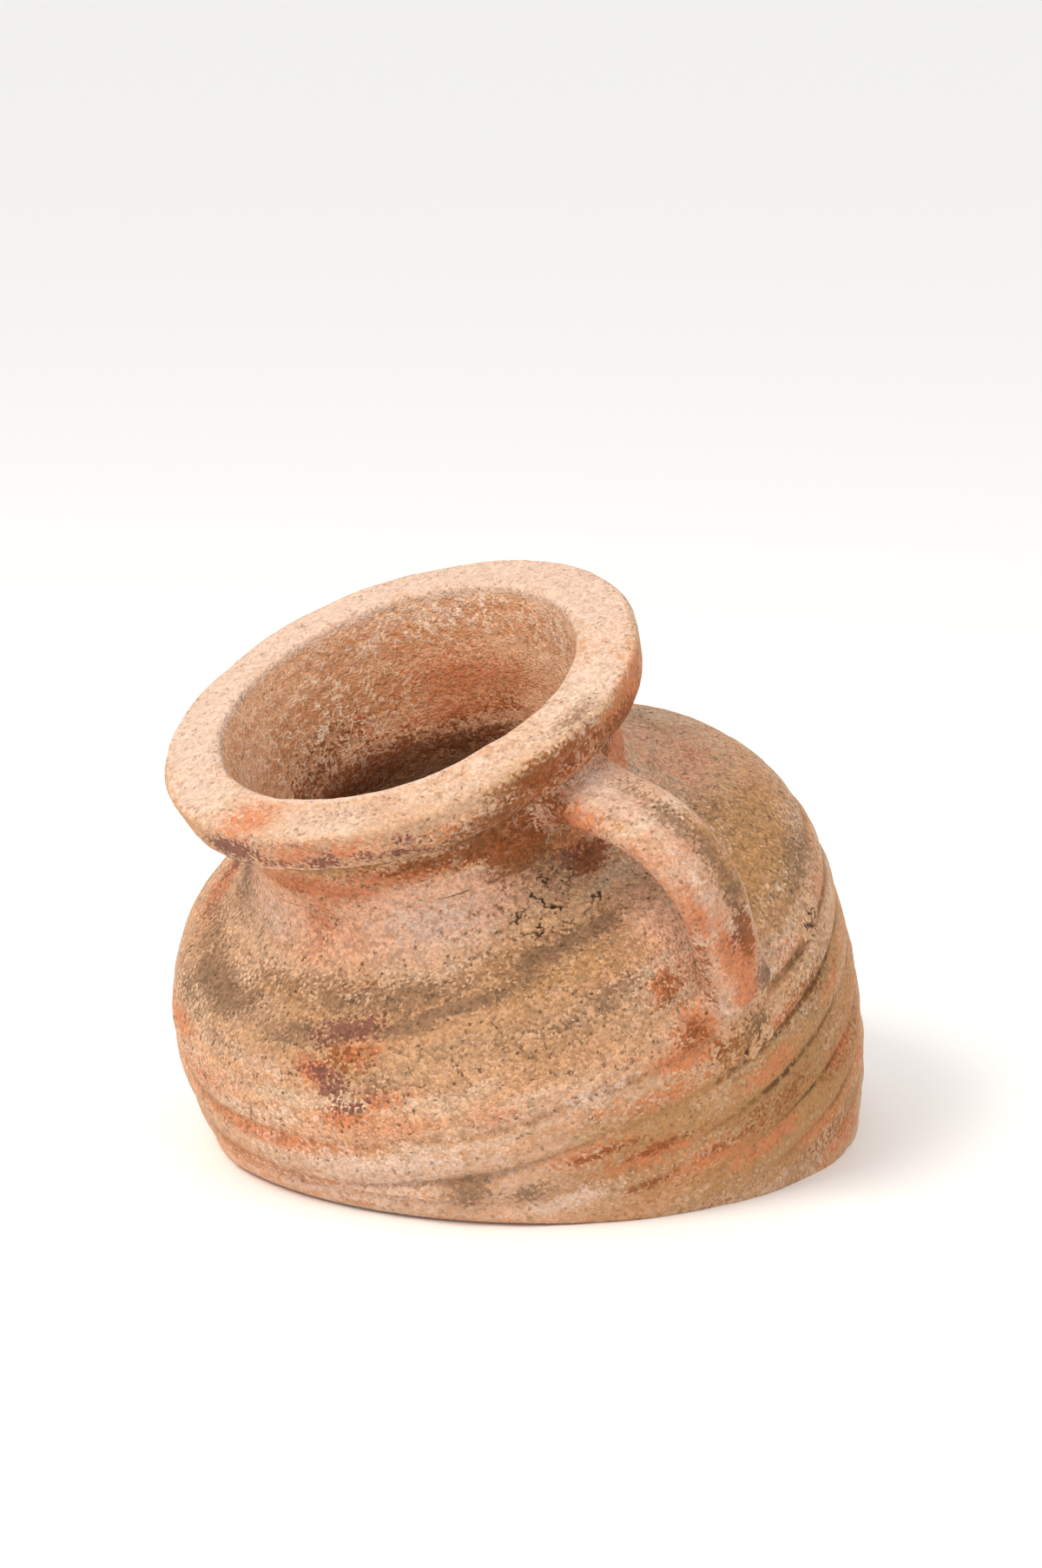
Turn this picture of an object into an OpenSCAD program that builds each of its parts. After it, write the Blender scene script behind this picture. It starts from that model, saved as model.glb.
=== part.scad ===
// Leaning terracotta planter: a wide-mouthed storage jar that was thrown upright in sections,
// cut on the slant and set down on a flat slab, so that it stands tipped over for planting.
// Sizes are in mm and angles in degrees. +Z is up, the jar leans towards -X and the strap
// handle is on the -Y side. The origin is the middle of the footprint, at the drain hole.

/* [Lean and height] */
// lean of the jar's axis away from upright
lean = 25; // [18:0.5:30]
// height of the mouth above the ground, along the leaning axis
mouth_h = 266; // [250:1:290]

/* [Lip] */
// inside radius of the mouth
mouth_r = 92; // [84:0.5:98]
// outside radius of the lip
lip_r = 123; // [116:0.5:132]
// thickness of the lip at its outer face
lip_t = 26; // [23:0.5:32]
// fall of the lip's top face from the mouth to the outer edge
lip_fall = 3; // [0:0.5:6]
// rounding of the lip's upper edge
lip_round = 7; // [3:0.5:9]
// rounding of the lip's under edge
lip_under = 15; // [8:0.5:18]
// rounding of the edge round the mouth
mouth_round = 5; // [2:0.5:8]

/* [Neck] */
// outside radius of the neck at its waist
neck_r = 97; // [92:0.5:103]
// height of the neck's foot on the shoulder, along the axis
neck_foot_h = 172; // [164:1:180]
// radius of the throat, the narrowest place inside the neck
throat_r = 80; // [72:0.5:83]
// depth of the straight throat, from the foot of the neck up to where the taper to the mouth begins
throat_depth = 19; // [8:1:30]

/* [Shoulder and belly] */
// outside radius of the belly at its widest ring
belly_r = 172; // [162:1:182]
// height of the belly's widest ring, along the axis
belly_h = 81; // [72:1:90]
// fullness of the shoulder, where 2 is a plain ellipse
shoulder_full = 2.7; // [2.2:0.1:3]
// height over which the lower belly would close to a point
under_h = 240; // [225:1:300]
// thickness of the thrown wall
wall = 13; // [10:0.5:16]

/* [Throwing ridges] */
// spacing of the finger ridges on the belly
ridge_pitch = 18; // [12:1:24]
// height of the finger ridges
ridge_rise = 1.4; // [0.4:0.1:2.4]

/* [Base] */
// thickness of the base slab
base_t = 14; // [10:0.5:20]
// diameter of the drain hole
drain_d = 22; // [12:0.5:36]
// width of the worn edge round the slab, at its widest under the lean
base_bevel = 12; // [4:0.5:14]

/* [Luted joints] */
// height of the seam between the belly and the shoulder, along the axis
seam_h = 120; // [112:1:130]
// depth of the tongue that each upper section sets into the one below
key_depth = 4; // [2:0.5:5]
// how far the luting coil runs up the neck from its foot
neck_coil_up = 30; // [20:1:34]
// bare stretch of the neck between that coil and the hollow under the lip
neck_bare = 2.5; // [0.5:0.5:8]
// how far the luting coil runs out over the shoulder
neck_coil_out = 38; // [24:1:42]
// least width of the coil in the corner of the base, on the inside
base_coil_w = 14; // [8:0.5:20]

/* [Handle] */
// width of the strap
handle_w = 34; // [28:0.5:40]
// thickness of the strap
handle_t = 17; // [14:0.5:19]
// distance of the strap's middle line below the lip, at the top of the bend
handle_drop = 16; // [14:0.5:22]
// distance of the strap's middle line outside the belly's widest ring, at its farthest
handle_reach = 6; // [2:0.5:10]
// radius of the bend at the top of the handle
handle_bend_r = 45; // [36:0.5:50]
// slope of the run down to the shoulder, in towards the wall
handle_fall = 9; // [8:0.5:12]
// width of the wad that is pressed round the handle's foot
foot_wad_w = 48; // [42:1:56]
// height of the wad above the wall
foot_wad_rise = 4; // [3:0.5:7]

/* [Hidden] */
$fn = 180;

// colours of the fired clay
c_base = [0.72, 0.50, 0.36];
c_belly = [0.76, 0.52, 0.36];
c_shoulder = [0.80, 0.66, 0.50];
c_neck = [0.82, 0.62, 0.48];
c_lip = [0.84, 0.68, 0.56];
c_handle = [0.74, 0.50, 0.38];
c_coil = [0.70, 0.44, 0.30];

// steps in each round stretch of an outline
steps = 12;
// points on each finger ridge
ridge_steps = 6;
// margin by which a cutting solid runs past what it cuts
past = 20;
// half the width of the tongue in a seam
key_half = 4;
// share of the hollow under the lip that belongs to the lip ring
cove_split = 0.5;
// slope of the handle where it leaves the neck
head_slope = 5;

// level of the lip's underside, of the neck's waist and of the seam between lip and neck
lip_low = mouth_h - lip_fall - lip_t;
waist_h = neck_foot_h + neck_coil_up + neck_bare;
cove_r = lip_r - lip_under;
lip_seam_h = lip_low - (lip_low - waist_h) * (1 - cos(90 * cove_split));
lip_seam_r = cove_r - (cove_r - neck_r) * sin(90 * cove_split);
throat_h = neck_foot_h + throat_depth;
lip_seam_in = throat_r + (mouth_r - throat_r) * (lip_seam_h - throat_h) / (mouth_h - throat_h);

// lowest ring of the outline, well below the slanted cut
low_h = -(belly_r * tan(lean) + past);

// the footprint is an ellipse: its middle, from the foot of the axis, its half length and half width
foot_k = pow(cos(lean) / belly_r, 2) + pow(sin(lean) / under_h, 2);
foot_mid = belly_h * sin(lean) / pow(under_h, 2) / foot_k;
foot_long = sqrt(pow(foot_mid, 2) + (1 - pow(belly_h / under_h, 2)) / foot_k);
foot_half = sqrt(pow(belly_r, 2) * (1 - pow((belly_h - foot_mid * sin(lean)) / under_h, 2))
                 - pow(foot_mid * cos(lean), 2));
base_coil_r = foot_half - wall - base_coil_w;

// middle of the handle's bend and the two ends of the bend, as distance from the axis and height
bend_mid = [belly_r + handle_reach - handle_bend_r, lip_low - handle_drop - handle_bend_r];
head_end = bend_mid + handle_bend_r * [cos(90 - head_slope), sin(90 - head_slope)];
fall_top = bend_mid + handle_bend_r * [cos(handle_fall), -sin(handle_fall)];
head_run = head_end[0] - neck_r + wall / 2;

// points of an arc from angle a to angle b, in n steps
function arc(mid, r, a, b, n = steps) =
    [for (i = [0:n]) mid + r * [cos(a + (b - a) * i / n), sin(a + (b - a) * i / n)]];

// shoulder curve from the point [r0, h0] out to the widest ring of radius r1, at angle t
function shoulder(t, r0, h0, r1) =
    [r0 + (r1 - r0) * pow(sin(t), 2 / shoulder_full),
     belly_h + (h0 - belly_h) * pow(cos(t), 2 / shoulder_full)];

// angle on that curve at which it reaches the height h, or the radius r
function angle_at_h(h, h0) = acos(pow((h - belly_h) / (h0 - belly_h), shoulder_full / 2));
function angle_at_r(r, r0, r1) = asin(pow((r - r0) / (r1 - r0), shoulder_full / 2));

// radius of the belly at the height h, on the shoulder curve above the widest ring
function belly_at(h, r0, h0, r1, u) =
    h > belly_h ? shoulder(angle_at_h(h, h0), r0, h0, r1)[0]
                : r1 * sqrt(1 - pow((belly_h - h) / u, 2));
function outside_at(h) = belly_at(h, neck_r, neck_foot_h, belly_r, under_h);
function inside_at(h) = belly_at(h, throat_r, neck_foot_h - wall, belly_r - wall, under_h - wall);
function wall_tilt(h) = atan((outside_at(h - 1) - outside_at(h + 1)) / 2);
function ridge_at(h) = ridge_rise * (1 - cos(360 * (seam_h - h) / ridge_pitch)) / 2;

// stretches of the outside, from the mouth down
function lip_outside() = concat(
    arc([mouth_r + mouth_round, mouth_h - mouth_round], mouth_round, 180, 90),
    arc([lip_r - lip_round, mouth_h - lip_fall - lip_round], lip_round, 90, 0),
    arc([lip_r - lip_under, lip_low + lip_under], lip_under, 0, -90));
function cove(from, to) = [for (i = [0:steps]) let (t = 90 * (from + (to - from) * i / steps))
    [cove_r - (cove_r - neck_r) * sin(t), lip_low - (lip_low - waist_h) * (1 - cos(t))]];
function neck_outside() = concat(cove(cove_split, 1), [[neck_r, neck_foot_h]]);
coil_to = angle_at_r(neck_r + neck_coil_out, neck_r, belly_r);
coil_end = shoulder(coil_to, neck_r, neck_foot_h, belly_r);
coil_slope = (neck_foot_h - belly_h) / (belly_r - neck_r) * pow(tan(coil_to), 2 - 2 / shoulder_full);
coil_corner = coil_end[1] + coil_slope * neck_coil_out;
function coil_face() = [for (i = [0:steps]) let (t = i / steps)
    [neck_r + neck_coil_out * t * t,
     (1 - t) * (1 - t) * (neck_foot_h + neck_coil_up) + 2 * t * (1 - t) * coil_corner
     + t * t * coil_end[1]]];
function shoulder_outside(from) = let (to = angle_at_h(seam_h, neck_foot_h))
    [for (i = [0:steps]) shoulder(from + (to - from) * i / steps, neck_r, neck_foot_h, belly_r)];
function belly_outside(to) = [for (h = [seam_h:-ridge_pitch / ridge_steps:to])
    [outside_at(h) + ridge_at(h), h]];

// stretches of the inside, from the base up
function belly_inside() = [for (i = [0:3 * steps])
    let (h = low_h + past / 2 + (seam_h - low_h - past / 2) * i / (3 * steps)) [inside_at(h), h]];
function shoulder_inside() = let (from = angle_at_h(seam_h, neck_foot_h - wall))
    [for (i = [0:steps])
        shoulder(from * (1 - i / steps), throat_r, neck_foot_h - wall, belly_r - wall)];

// tongue of a seam at the height h, half way through the wall between radii a and b
function tongue(a, b, h) = let (m = (a + b) / 2)
    [[m - key_half, h], [m, h - key_depth], [m + key_half, h]];
function reversed(list) = [for (i = [len(list) - 1:-1:0]) list[i]];

// length at which the middle of the strap has sunk a quarter of its thickness into the wall
function fall_point(run) = fall_top - run * [sin(handle_fall), cos(handle_fall)];
function fall_end(run) = let (foot = fall_point(run))
    foot[0] < outside_at(foot[1]) - handle_t / 4 ? run : fall_end(run + 1);
fall_run = fall_end(0);
foot_h = fall_point(fall_run)[1];
wad_h = foot_h - foot_wad_w / 8;

// cross-section of the strap, a bar with round edges
function strap_section() = let (edge = (handle_w - handle_t) / 2, round_steps = steps / 2)
    concat(arc([0, edge], handle_t / 2, 0, 180, round_steps),
           arc([0, -edge], handle_t / 2, 180, 360, round_steps));

// that section at a stop of the path, square to it, and the path as stops with their angles
function strap_ring(mid, a) =
    [for (q = strap_section()) [q[1], -mid[0] - q[0] * cos(a), mid[1] + q[0] * sin(a)]];
function strap_path() = let (from = 90 - head_slope, turn = from + handle_fall)
    concat([[head_end - head_run * [cos(head_slope), -sin(head_slope)], from]],
           [for (i = [0:steps]) let (a = from - turn * i / steps)
               [bend_mid + handle_bend_r * [cos(a), sin(a)], a]],
           [[fall_point(fall_run), -handle_fall]]);

// stands a solid of the upright jar on its slanted cut
module leaned() {
    translate([foot_mid, 0, 0]) rotate([0, -lean, 0]) children();
}

// one thrown section, revolved from its outline
module thrown(outline) {
    leaned() rotate_extrude() polygon(outline);
}

// layer of space between two levels, wider than the jar
module layer(z0, z1) {
    span = 4 * belly_r;
    translate([-span / 2, -span / 2, z0]) cube([span, span, z1 - z0]);
}

// the belly as a solid, and the hollow inside it
module belly_solid() {
    thrown(concat([[0, seam_h]], belly_outside(low_h), [[0, low_h]]));
}
module belly_hollow() {
    thrown(concat([[0, low_h + past / 2]], belly_inside(), [[0, seam_h]]));
}

// what lies inside the outer face of the jar, from under the handle's foot up to the lip
module handle_seat() {
    low = foot_h - 2 * foot_wad_w;
    thrown(concat([[0, lip_low]], cove(0, 1), coil_face(), shoulder_outside(coil_to),
                  belly_outside(low), [[0, low]]));
}

// the same round the handle's foot only
module foot_seat() {
    low = foot_h - 2 * foot_wad_w;
    thrown(concat([[0, coil_end[1]]], shoulder_outside(coil_to), belly_outside(low), [[0, low]]));
}

// the strap, swept along its run out from the neck, its bend and its run down to the wall,
// with both ends run on into the wall
module strap() {
    sides = len(strap_section());
    last = len(strap_path()) - 1;
    points = [for (stop = strap_path()) each strap_ring(stop[0], stop[1])];
    skin = [for (i = [0:last - 1]) for (j = [0:sides - 1]) let (k = (j + 1) % sides)
        each [[i * sides + j, i * sides + k, (i + 1) * sides + k],
              [i * sides + j, (i + 1) * sides + k, (i + 1) * sides + j]]];
    head = [for (j = [sides - 1:-1:0]) j];
    foot = [for (j = [0:sides - 1]) last * sides + j];
    polyhedron(points, concat(skin, [head, foot]));
}

// round dish that leaves the worn edge on the slab, widest under the lean and none behind
module worn_edge() {
    high = base_t - 1;
    flat_r = foot_long - base_bevel / 2 + ridge_rise;
    rim = [for (i = [0:steps]) let (t = 90 * i / steps)
        [flat_r + base_bevel * sin(t), high * (1 - cos(t))]];
    translate([base_bevel / 2, 0, 0]) rotate_extrude()
        polygon(concat([[0, 0]], rim, [[flat_r + base_bevel, base_t], [0, base_t]]));
}

// flat slab under the slanted cut, trimmed flush with the wall, with the drain hole
module base_slab() {
    color(c_base) difference() {
        intersection() {
            belly_solid();
            worn_edge();
        }
        translate([0, 0, -past]) cylinder(d = drain_d, h = base_t + 2 * past);
    }
}

// coil worked into the inside corner between the slab and the wall
module base_coil() {
    top = 3 * base_coil_w;
    color(c_coil) difference() {
        intersection() {
            belly_hollow();
            layer(base_t, base_t + top);
        }
        translate([0, 0, base_t - past])
            cylinder(r1 = base_coil_r - past, r2 = base_coil_r + top + past, h = top + 2 * past);
    }
}

// lower section, with the finger ridges, standing on the slab
module belly_wall() {
    a = inside_at(seam_h);
    b = outside_at(seam_h);
    color(c_belly) intersection() {
        thrown(concat(belly_inside(), tongue(a, b, seam_h), belly_outside(low_h)));
        layer(base_t, 4 * mouth_h);
    }
}

// upper section, closing in to the foot of the neck
module shoulder_wall() {
    a = inside_at(seam_h);
    b = outside_at(seam_h);
    color(c_shoulder) thrown(concat(shoulder_inside(), tongue(throat_r, neck_r, neck_foot_h),
                                    shoulder_outside(0), reversed(tongue(a, b, seam_h))));
}

// coil smoothed into the hollow between the neck and the shoulder
module neck_coil() {
    shoulder_face = [for (i = [0:steps])
        shoulder(coil_to * (1 - i / steps), neck_r, neck_foot_h, belly_r)];
    color(c_coil) thrown(concat(coil_face(), shoulder_face));
}

// collar of the neck, tapering in to the throat
module neck_collar() {
    color(c_neck) thrown(concat(
        [[throat_r, neck_foot_h], [throat_r, throat_h], [lip_seam_in, lip_seam_h]],
        tongue(lip_seam_in, lip_seam_r, lip_seam_h), neck_outside(),
        reversed(tongue(throat_r, neck_r, neck_foot_h))));
}

// heavy turned-out lip
module lip_ring() {
    color(c_lip) thrown(concat([[lip_seam_in, lip_seam_h]], lip_outside(), cove(0, cove_split),
                               reversed(tongue(lip_seam_in, lip_seam_r, lip_seam_h))));
}

// pulled strap handle, from under the lip down to the shoulder
module handle() {
    color(c_handle) difference() {
        leaned() strap();
        handle_seat();
    }
}

// wad pressed flat round the foot of the handle, square to the wall
module foot_wad() {
    edge_r = foot_wad_w / 2;
    mound = concat([[0, -past], [edge_r, -past]],
                   arc([edge_r - foot_wad_rise, 0], foot_wad_rise, 0, 90), [[0, foot_wad_rise]]);
    color(c_handle) difference() {
        leaned() translate([0, -outside_at(wad_h), wad_h]) rotate([90 - wall_tilt(wad_h), 0, 0])
            rotate_extrude() polygon(mound);
        foot_seat();
        leaned() strap();
    }
}

base_slab();
base_coil();
belly_wall();
shoulder_wall();
neck_coil();
neck_collar();
lip_ring();
handle();
foot_wad();
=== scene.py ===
# %% [markdown]
# # A leaning terracotta planter
# This planter is a wide jar that a potter threw on the wheel, cut off on the slant and set down on a
# flat slab, so that it stands tipped to one side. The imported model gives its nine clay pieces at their
# real size. Here each piece gets its worked surface and its weathered colour.
# A thrown wall follows one rule, an outline turned round an axis, so one node tree makes five pieces.

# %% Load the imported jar
import math

import bmesh
import bpy
import numpy as np
from mathutils import Matrix, Vector
from mathutils.bvhtree import BVHTree


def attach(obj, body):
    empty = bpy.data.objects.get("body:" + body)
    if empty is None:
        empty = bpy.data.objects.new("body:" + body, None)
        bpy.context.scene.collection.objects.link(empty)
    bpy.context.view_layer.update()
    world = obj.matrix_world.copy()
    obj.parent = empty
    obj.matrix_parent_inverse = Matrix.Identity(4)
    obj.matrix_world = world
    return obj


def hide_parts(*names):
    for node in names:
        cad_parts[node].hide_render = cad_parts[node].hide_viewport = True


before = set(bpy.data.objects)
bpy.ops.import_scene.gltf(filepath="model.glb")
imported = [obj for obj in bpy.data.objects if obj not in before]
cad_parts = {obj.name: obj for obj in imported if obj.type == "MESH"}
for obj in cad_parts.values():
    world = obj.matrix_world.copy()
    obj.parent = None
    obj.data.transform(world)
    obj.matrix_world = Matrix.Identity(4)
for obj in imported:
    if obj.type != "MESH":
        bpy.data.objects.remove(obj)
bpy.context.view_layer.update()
scene = bpy.context.scene
print("clay pieces in the frame:", sorted(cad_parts))

# %% [markdown]
# ## Sizes of the jar
# Sizes are in millimetres. Heights run along the leaning axis, from the ground up, and radii run out
# from it. Most of these are the sizes that the solids were made from. The edges of the lip and the
# finger ridges were measured once more on the photograph, and the visible clay takes the newer sizes.
# Blender works in metres, so points are turned into metres only where a mesh is made.

# %% Sizes in millimetres
MM = 0.001
lean = math.radians(25)
mouth_h, mouth_r, mouth_round = 266, 92, 3
lip_r, lip_t, lip_fall, lip_round, lip_under, lip_taper = 121.8, 26, 3, 2.8, 13.8, 1.6
neck_r, neck_foot_h, throat_r, throat_h = 97, 172, 80, 191
neck_coil_up, neck_coil_out, neck_bare = 30, 38, 2.5
belly_r, belly_h, shoulder_full, under_h = 172, 81, 2.7, 240
wall, seam_h, key_half, key_depth = 13, 120, 4, 4
base_t, drain_d, base_bevel = 14, 22, 12
ridge_pitch, ridge_rise, ridge_start = 22.5, 2.3, 217
# the belly is thrown down to here, below the ground, before it is cut
low_h = -100

lip_low = mouth_h - lip_fall - lip_t
cove_r = lip_r - lip_under
waist_h = neck_foot_h + neck_coil_up + neck_bare
# the ground cuts the leaning belly in an oval, whose middle is at the drain hole
foot_oval = (math.cos(lean) / belly_r) ** 2 + (math.sin(lean) / under_h) ** 2
foot_mid = belly_h * math.sin(lean) / under_h**2 / foot_oval
print(f"the axis meets the ground {foot_mid:.2f} mm from the drain hole")

# %% [markdown]
# ## Camera
# The photograph looks down on the jar by thirteen degrees, with the mouth turned to the left. A long lens
# from far off keeps upright lines upright, so the focal length is long here too. One pixel and one scale
# at the foot of the jar's axis are enough to place the camera.

# %% Camera at the photograph's angle
photo_w, photo_h = 1200, 1806
focal_px = 5000
mm_per_px = 0.45
sensor_mm, far_m = 36, 200
axis_foot_px = (643.6, 1282.5)
look_turn, look_down = math.radians(44.01), math.radians(12.99)

right = Vector((math.cos(look_turn), -math.sin(look_turn), 0))
ahead = Vector((math.sin(look_turn) * math.cos(look_down), math.cos(look_turn) * math.cos(look_down),
                -math.sin(look_down)))
above = right.cross(ahead)
px_right, px_down = axis_foot_px[0] - photo_w / 2, axis_foot_px[1] - photo_h / 2
from_middle = (right * px_right - above * px_down) * mm_per_px
eye = Vector((foot_mid, 0, 0)) - from_middle - ahead * focal_px * mm_per_px

camera = bpy.data.objects.new("camera", bpy.data.cameras.new("camera"))
camera.data.sensor_fit = "VERTICAL"
camera.data.sensor_height = sensor_mm
camera.data.lens = focal_px / photo_h * sensor_mm
camera.data.clip_end = far_m
camera.matrix_world = Matrix((right, above, -ahead)).transposed().to_4x4()
camera.location = eye * MM
scene.collection.objects.link(camera)
scene.camera = camera
print(f"camera at {[round(c, 3) for c in camera.location]}, lens {camera.data.lens:.1f} mm")

# %% [markdown]
# ## Colours and nodes
# Colours are written the way a paint program shows them and turned to linear light by one function.
# One more function adds a node, so that every tree below reads as a list of what it does.

# %% Helpers for colours and nodes
def linear(hex_colour):
    """Linear colour with alpha from an sRGB hex value such as C98A62."""
    parts = [int(hex_colour[i:i + 2], 16) / 255 for i in (0, 2, 4)]
    return [c / 12.92 if c <= 0.04045 else ((c + 0.055) / 1.055) ** 2.4 for c in parts] + [1]


def add(tree, kind, inputs=None, **settings):
    """Adds a node, sets it up, and links or sets its inputs by name or number."""
    node = tree.nodes.new(kind)
    for name, value in settings.items():
        setattr(node, name, value)
    for key, value in (inputs or {}).items():
        found = [s for s in node.inputs if s.enabled and s.name == key]
        socket = found[0] if found else node.inputs[key]
        if isinstance(value, bpy.types.Node):
            value = next(s for s in value.outputs if s.enabled)
        if isinstance(value, bpy.types.NodeSocket):
            tree.links.new(value, socket)
        else:
            socket.default_value = value
    return node


print("the hex colour C98A62 in linear light:", [round(c, 3) for c in linear("C98A62")])

# %% [markdown]
# ## Floor and studio light
# A large pale floor and an even white surround keep the light soft. One big lamp stands high on the
# left, in front of the jar, so that the lip's top is the brightest face and the right side turns away
# into a gentle shade. A second, weak one on the right keeps that shade from going flat.

# %% Floor and surround
floor_half = 40.0
floor_mesh = bpy.data.meshes.new("studio_floor")
floor_corners = [(x * floor_half, y * floor_half, 0) for x, y in ((-1, -1), (1, -1), (1, 1), (-1, 1))]
floor_mesh.from_pydata(floor_corners, [], [(0, 1, 2, 3)])
floor = bpy.data.objects.new("studio_floor", floor_mesh)
scene.collection.objects.link(floor)
# matt paper, which gives a soft pale ground with no reflection of the jar
paper = bpy.data.materials.new("matt_white_paper")
paper.use_nodes = True
paper_shader = paper.node_tree.nodes["Principled BSDF"]
paper_shader.inputs["Base Color"].default_value = linear("F7F6F4")
paper_shader.inputs["Roughness"].default_value = 0.9
floor_mesh.materials.append(paper)

surround = bpy.data.worlds.new("white_surround")
surround.use_nodes = True
surround.node_tree.nodes["Background"].inputs["Color"].default_value = linear("FFFFFF")
surround.node_tree.nodes["Background"].inputs["Strength"].default_value = 0.95
scene.world = surround
scene.view_settings.view_transform = "Standard"
print(f"floor {2 * floor_half:.0f} m wide")


# %% Lamps
def lamp(name, place, aim, size, watts, colour):
    """Square soft lamp at a place, turned to its aim."""
    light = bpy.data.lights.new(name, "AREA")
    light.size = size
    light.energy = watts
    light.color = linear(colour)[:3]
    obj = bpy.data.objects.new(name, light)
    obj.location = place
    obj.rotation_euler = (Vector(aim) - Vector(place)).to_track_quat("-Z", "Y").to_euler()
    scene.collection.objects.link(obj)


# metres to the side of the jar, in front of it and above its middle
key_left, key_front, key_up = 1.1, 1.0, 1.7
fill_right, fill_front, fill_up = 1.6, 1.6, 0.9
jar_middle = Vector((0, 0, 0.15))
toward_eye = -Vector((ahead.x, ahead.y, 0)).normalized()
key_place = jar_middle - right * key_left + toward_eye * key_front + Vector((0, 0, key_up))
fill_place = jar_middle + right * fill_right + toward_eye * fill_front + Vector((0, 0, fill_up))
lamp("key_lamp", key_place, jar_middle, size=0.9, watts=34, colour="FFF6EC")
lamp("fill_lamp", fill_place, jar_middle, size=1.8, watts=5, colour="FFFDFA")

# %% [markdown]
# ## The clay's skin
# Fired clay left out of doors has a sandy skin with no shine. Its colour runs in soft bands round the
# jar, because hands and water wiped it on the wheel, so two of the noises are drawn out round the
# upright axis. The others make blotches, clumps and hairlines, and a cell pattern makes the sand. The
# material also reads numbers kept on the points of each piece, which are painted further down. A picture
# of clay would be quicker, but patterns of a real size cover every side of the jar without a seam.

# %% What the clay is read from
# size in mm, detail, roughness, and how many times longer it is round the axis
noises = {"wiped": (11, 4.0, 0.6, 9), "banded": (19, 4.0, 0.6, 6), "blotch": (22, 5.0, 0.62, 1),
          "clump": (5, 4.0, 0.7, 1), "squiggle": (5.5, 2.0, 0.5, 1)}
# real sand is finer than this; it is drawn coarser so that it still shows at arm's length
sand_grain = 1.45
# numbers painted on the points; those for deep grooves, crust cracks and the depth of the hollow carry
# painted shade, and some stains carry painted light and shade
painted = ("dust", "ochre", "blush_and_painted_light", "rust", "slip_and_painted_light", "umber_and_shade", "smoke", "plum_and_shade",
           "groove", "cut", "inside", "depth", "worms", "flake", "crevice_shade", "grit")


def clay_patterns(tree):
    """Every pattern and painted number of the clay by name, with patterns at their size in mm."""
    place = add(tree, "ShaderNodeTexCoord").outputs["Object"]
    in_mm = add(tree, "ShaderNodeVectorMath", {0: place, "Scale": 1 / MM}, operation="SCALE")
    upright = add(tree, "ShaderNodeMapping", {"Vector": in_mm, "Rotation": (0, lean, 0)})
    sand = add(tree, "ShaderNodeTexVoronoi", {"Vector": in_mm, "Scale": 1 / sand_grain})
    # each grain has a colour by chance, which gives three numbers of its own
    grain = add(tree, "ShaderNodeSeparateColor", {"Color": sand.outputs["Color"]}).outputs
    clay = {"sand": sand, "grain_1": grain["Red"], "grain_2": grain["Green"], "grain_3": grain["Blue"]}
    for name, (size, detail, rough, stretch) in noises.items():
        per_mm = (1 / size / stretch, 1 / size / stretch, 1 / size)
        scaled = add(tree, "ShaderNodeVectorMath", {0: upright, 1: per_mm}, operation="MULTIPLY")
        clay[name] = add(tree, "ShaderNodeTexNoise", {"Vector": scaled, "Scale": 1.0, "Detail": detail,
                                                      "Roughness": rough})
    for name in painted:
        clay[name] = add(tree, "ShaderNodeAttribute", attribute_name=name).outputs["Fac"]
    return clay


print("the clay has", len(noises), "noises and", len(painted), "painted numbers")

# %% [markdown]
# ## Soft steps
# A pattern becomes a mask by a soft step: nothing below one level, all of it above another. The clay
# needs a dozen, so they are a list, and a loop adds one Map Range node for each.

# %% Masks from the patterns
# what it is read from, level where it starts, level where it ends, value at the start, value at the end
soft_steps = {
    "peach_band": ("banded", 0.40, 0.62, 0, 1),
    "cream_wipe": ("wiped", 0.52, 0.66, 0, 0.5),
    "brown_blotch": ("blotch", 0.52, 0.68, 0, 0.5),
    "groove_darker": ("groove", 0.15, 0.75, 0, 0.6),
    "inner_band": ("banded", 0.40, 0.60, 0, 1),
    "groove_floor": ("groove", 0.46, 0.74, 0, 1),
    "groove_break": ("clump", 0.40, 0.53, 0, 1),
    "hairline_break": ("clump", 0.44, 0.50, 0, 1),
    "grain_tone": ("grain_2", 0.0, 1.0, -0.26, 0.15),
    # painted light and shade: lighter where the clumps rise, darker between them
    "clump_light_and_shade": ("clump", 0.36, 0.62, -0.13, 0.10),
    "pit_grain": ("grain_3", 0.90, 0.94, 0, 1),
    "pit_hollow": ("clump", 0.50, 0.42, 0, 0.75),
}
# kind of stain (some kinds also carry painted light or painted shade), its colour, levels where it starts and
# where it is full, and how much it covers then
stain_looks = [("dust", "B88D66", 0.20, 0.70, 0.8), ("ochre", "AA7D4A", 0.24, 0.66, 0.82),
               ("blush_and_painted_light", "EBB493", 0.20, 0.60, 0.85), ("rust", "CB7B50", 0.26, 0.66, 0.85),
               ("slip_and_painted_light", "DDBEA9", 0.22, 0.58, 0.9), ("umber_and_shade", "88481C", 0.30, 0.70, 0.85),
               ("smoke", "86664C", 0.20, 0.66, 0.88), ("plum_and_shade", "7E4E42", 0.44, 0.62, 0.88)]
# the edge of a stain fades through blotches, clumps and single grains
edge_scatter = {"blotch": 0.5, "clump": 1.0, "grain_1": 0.42}
edge_middle = sum(edge_scatter.values()) / 2


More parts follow.
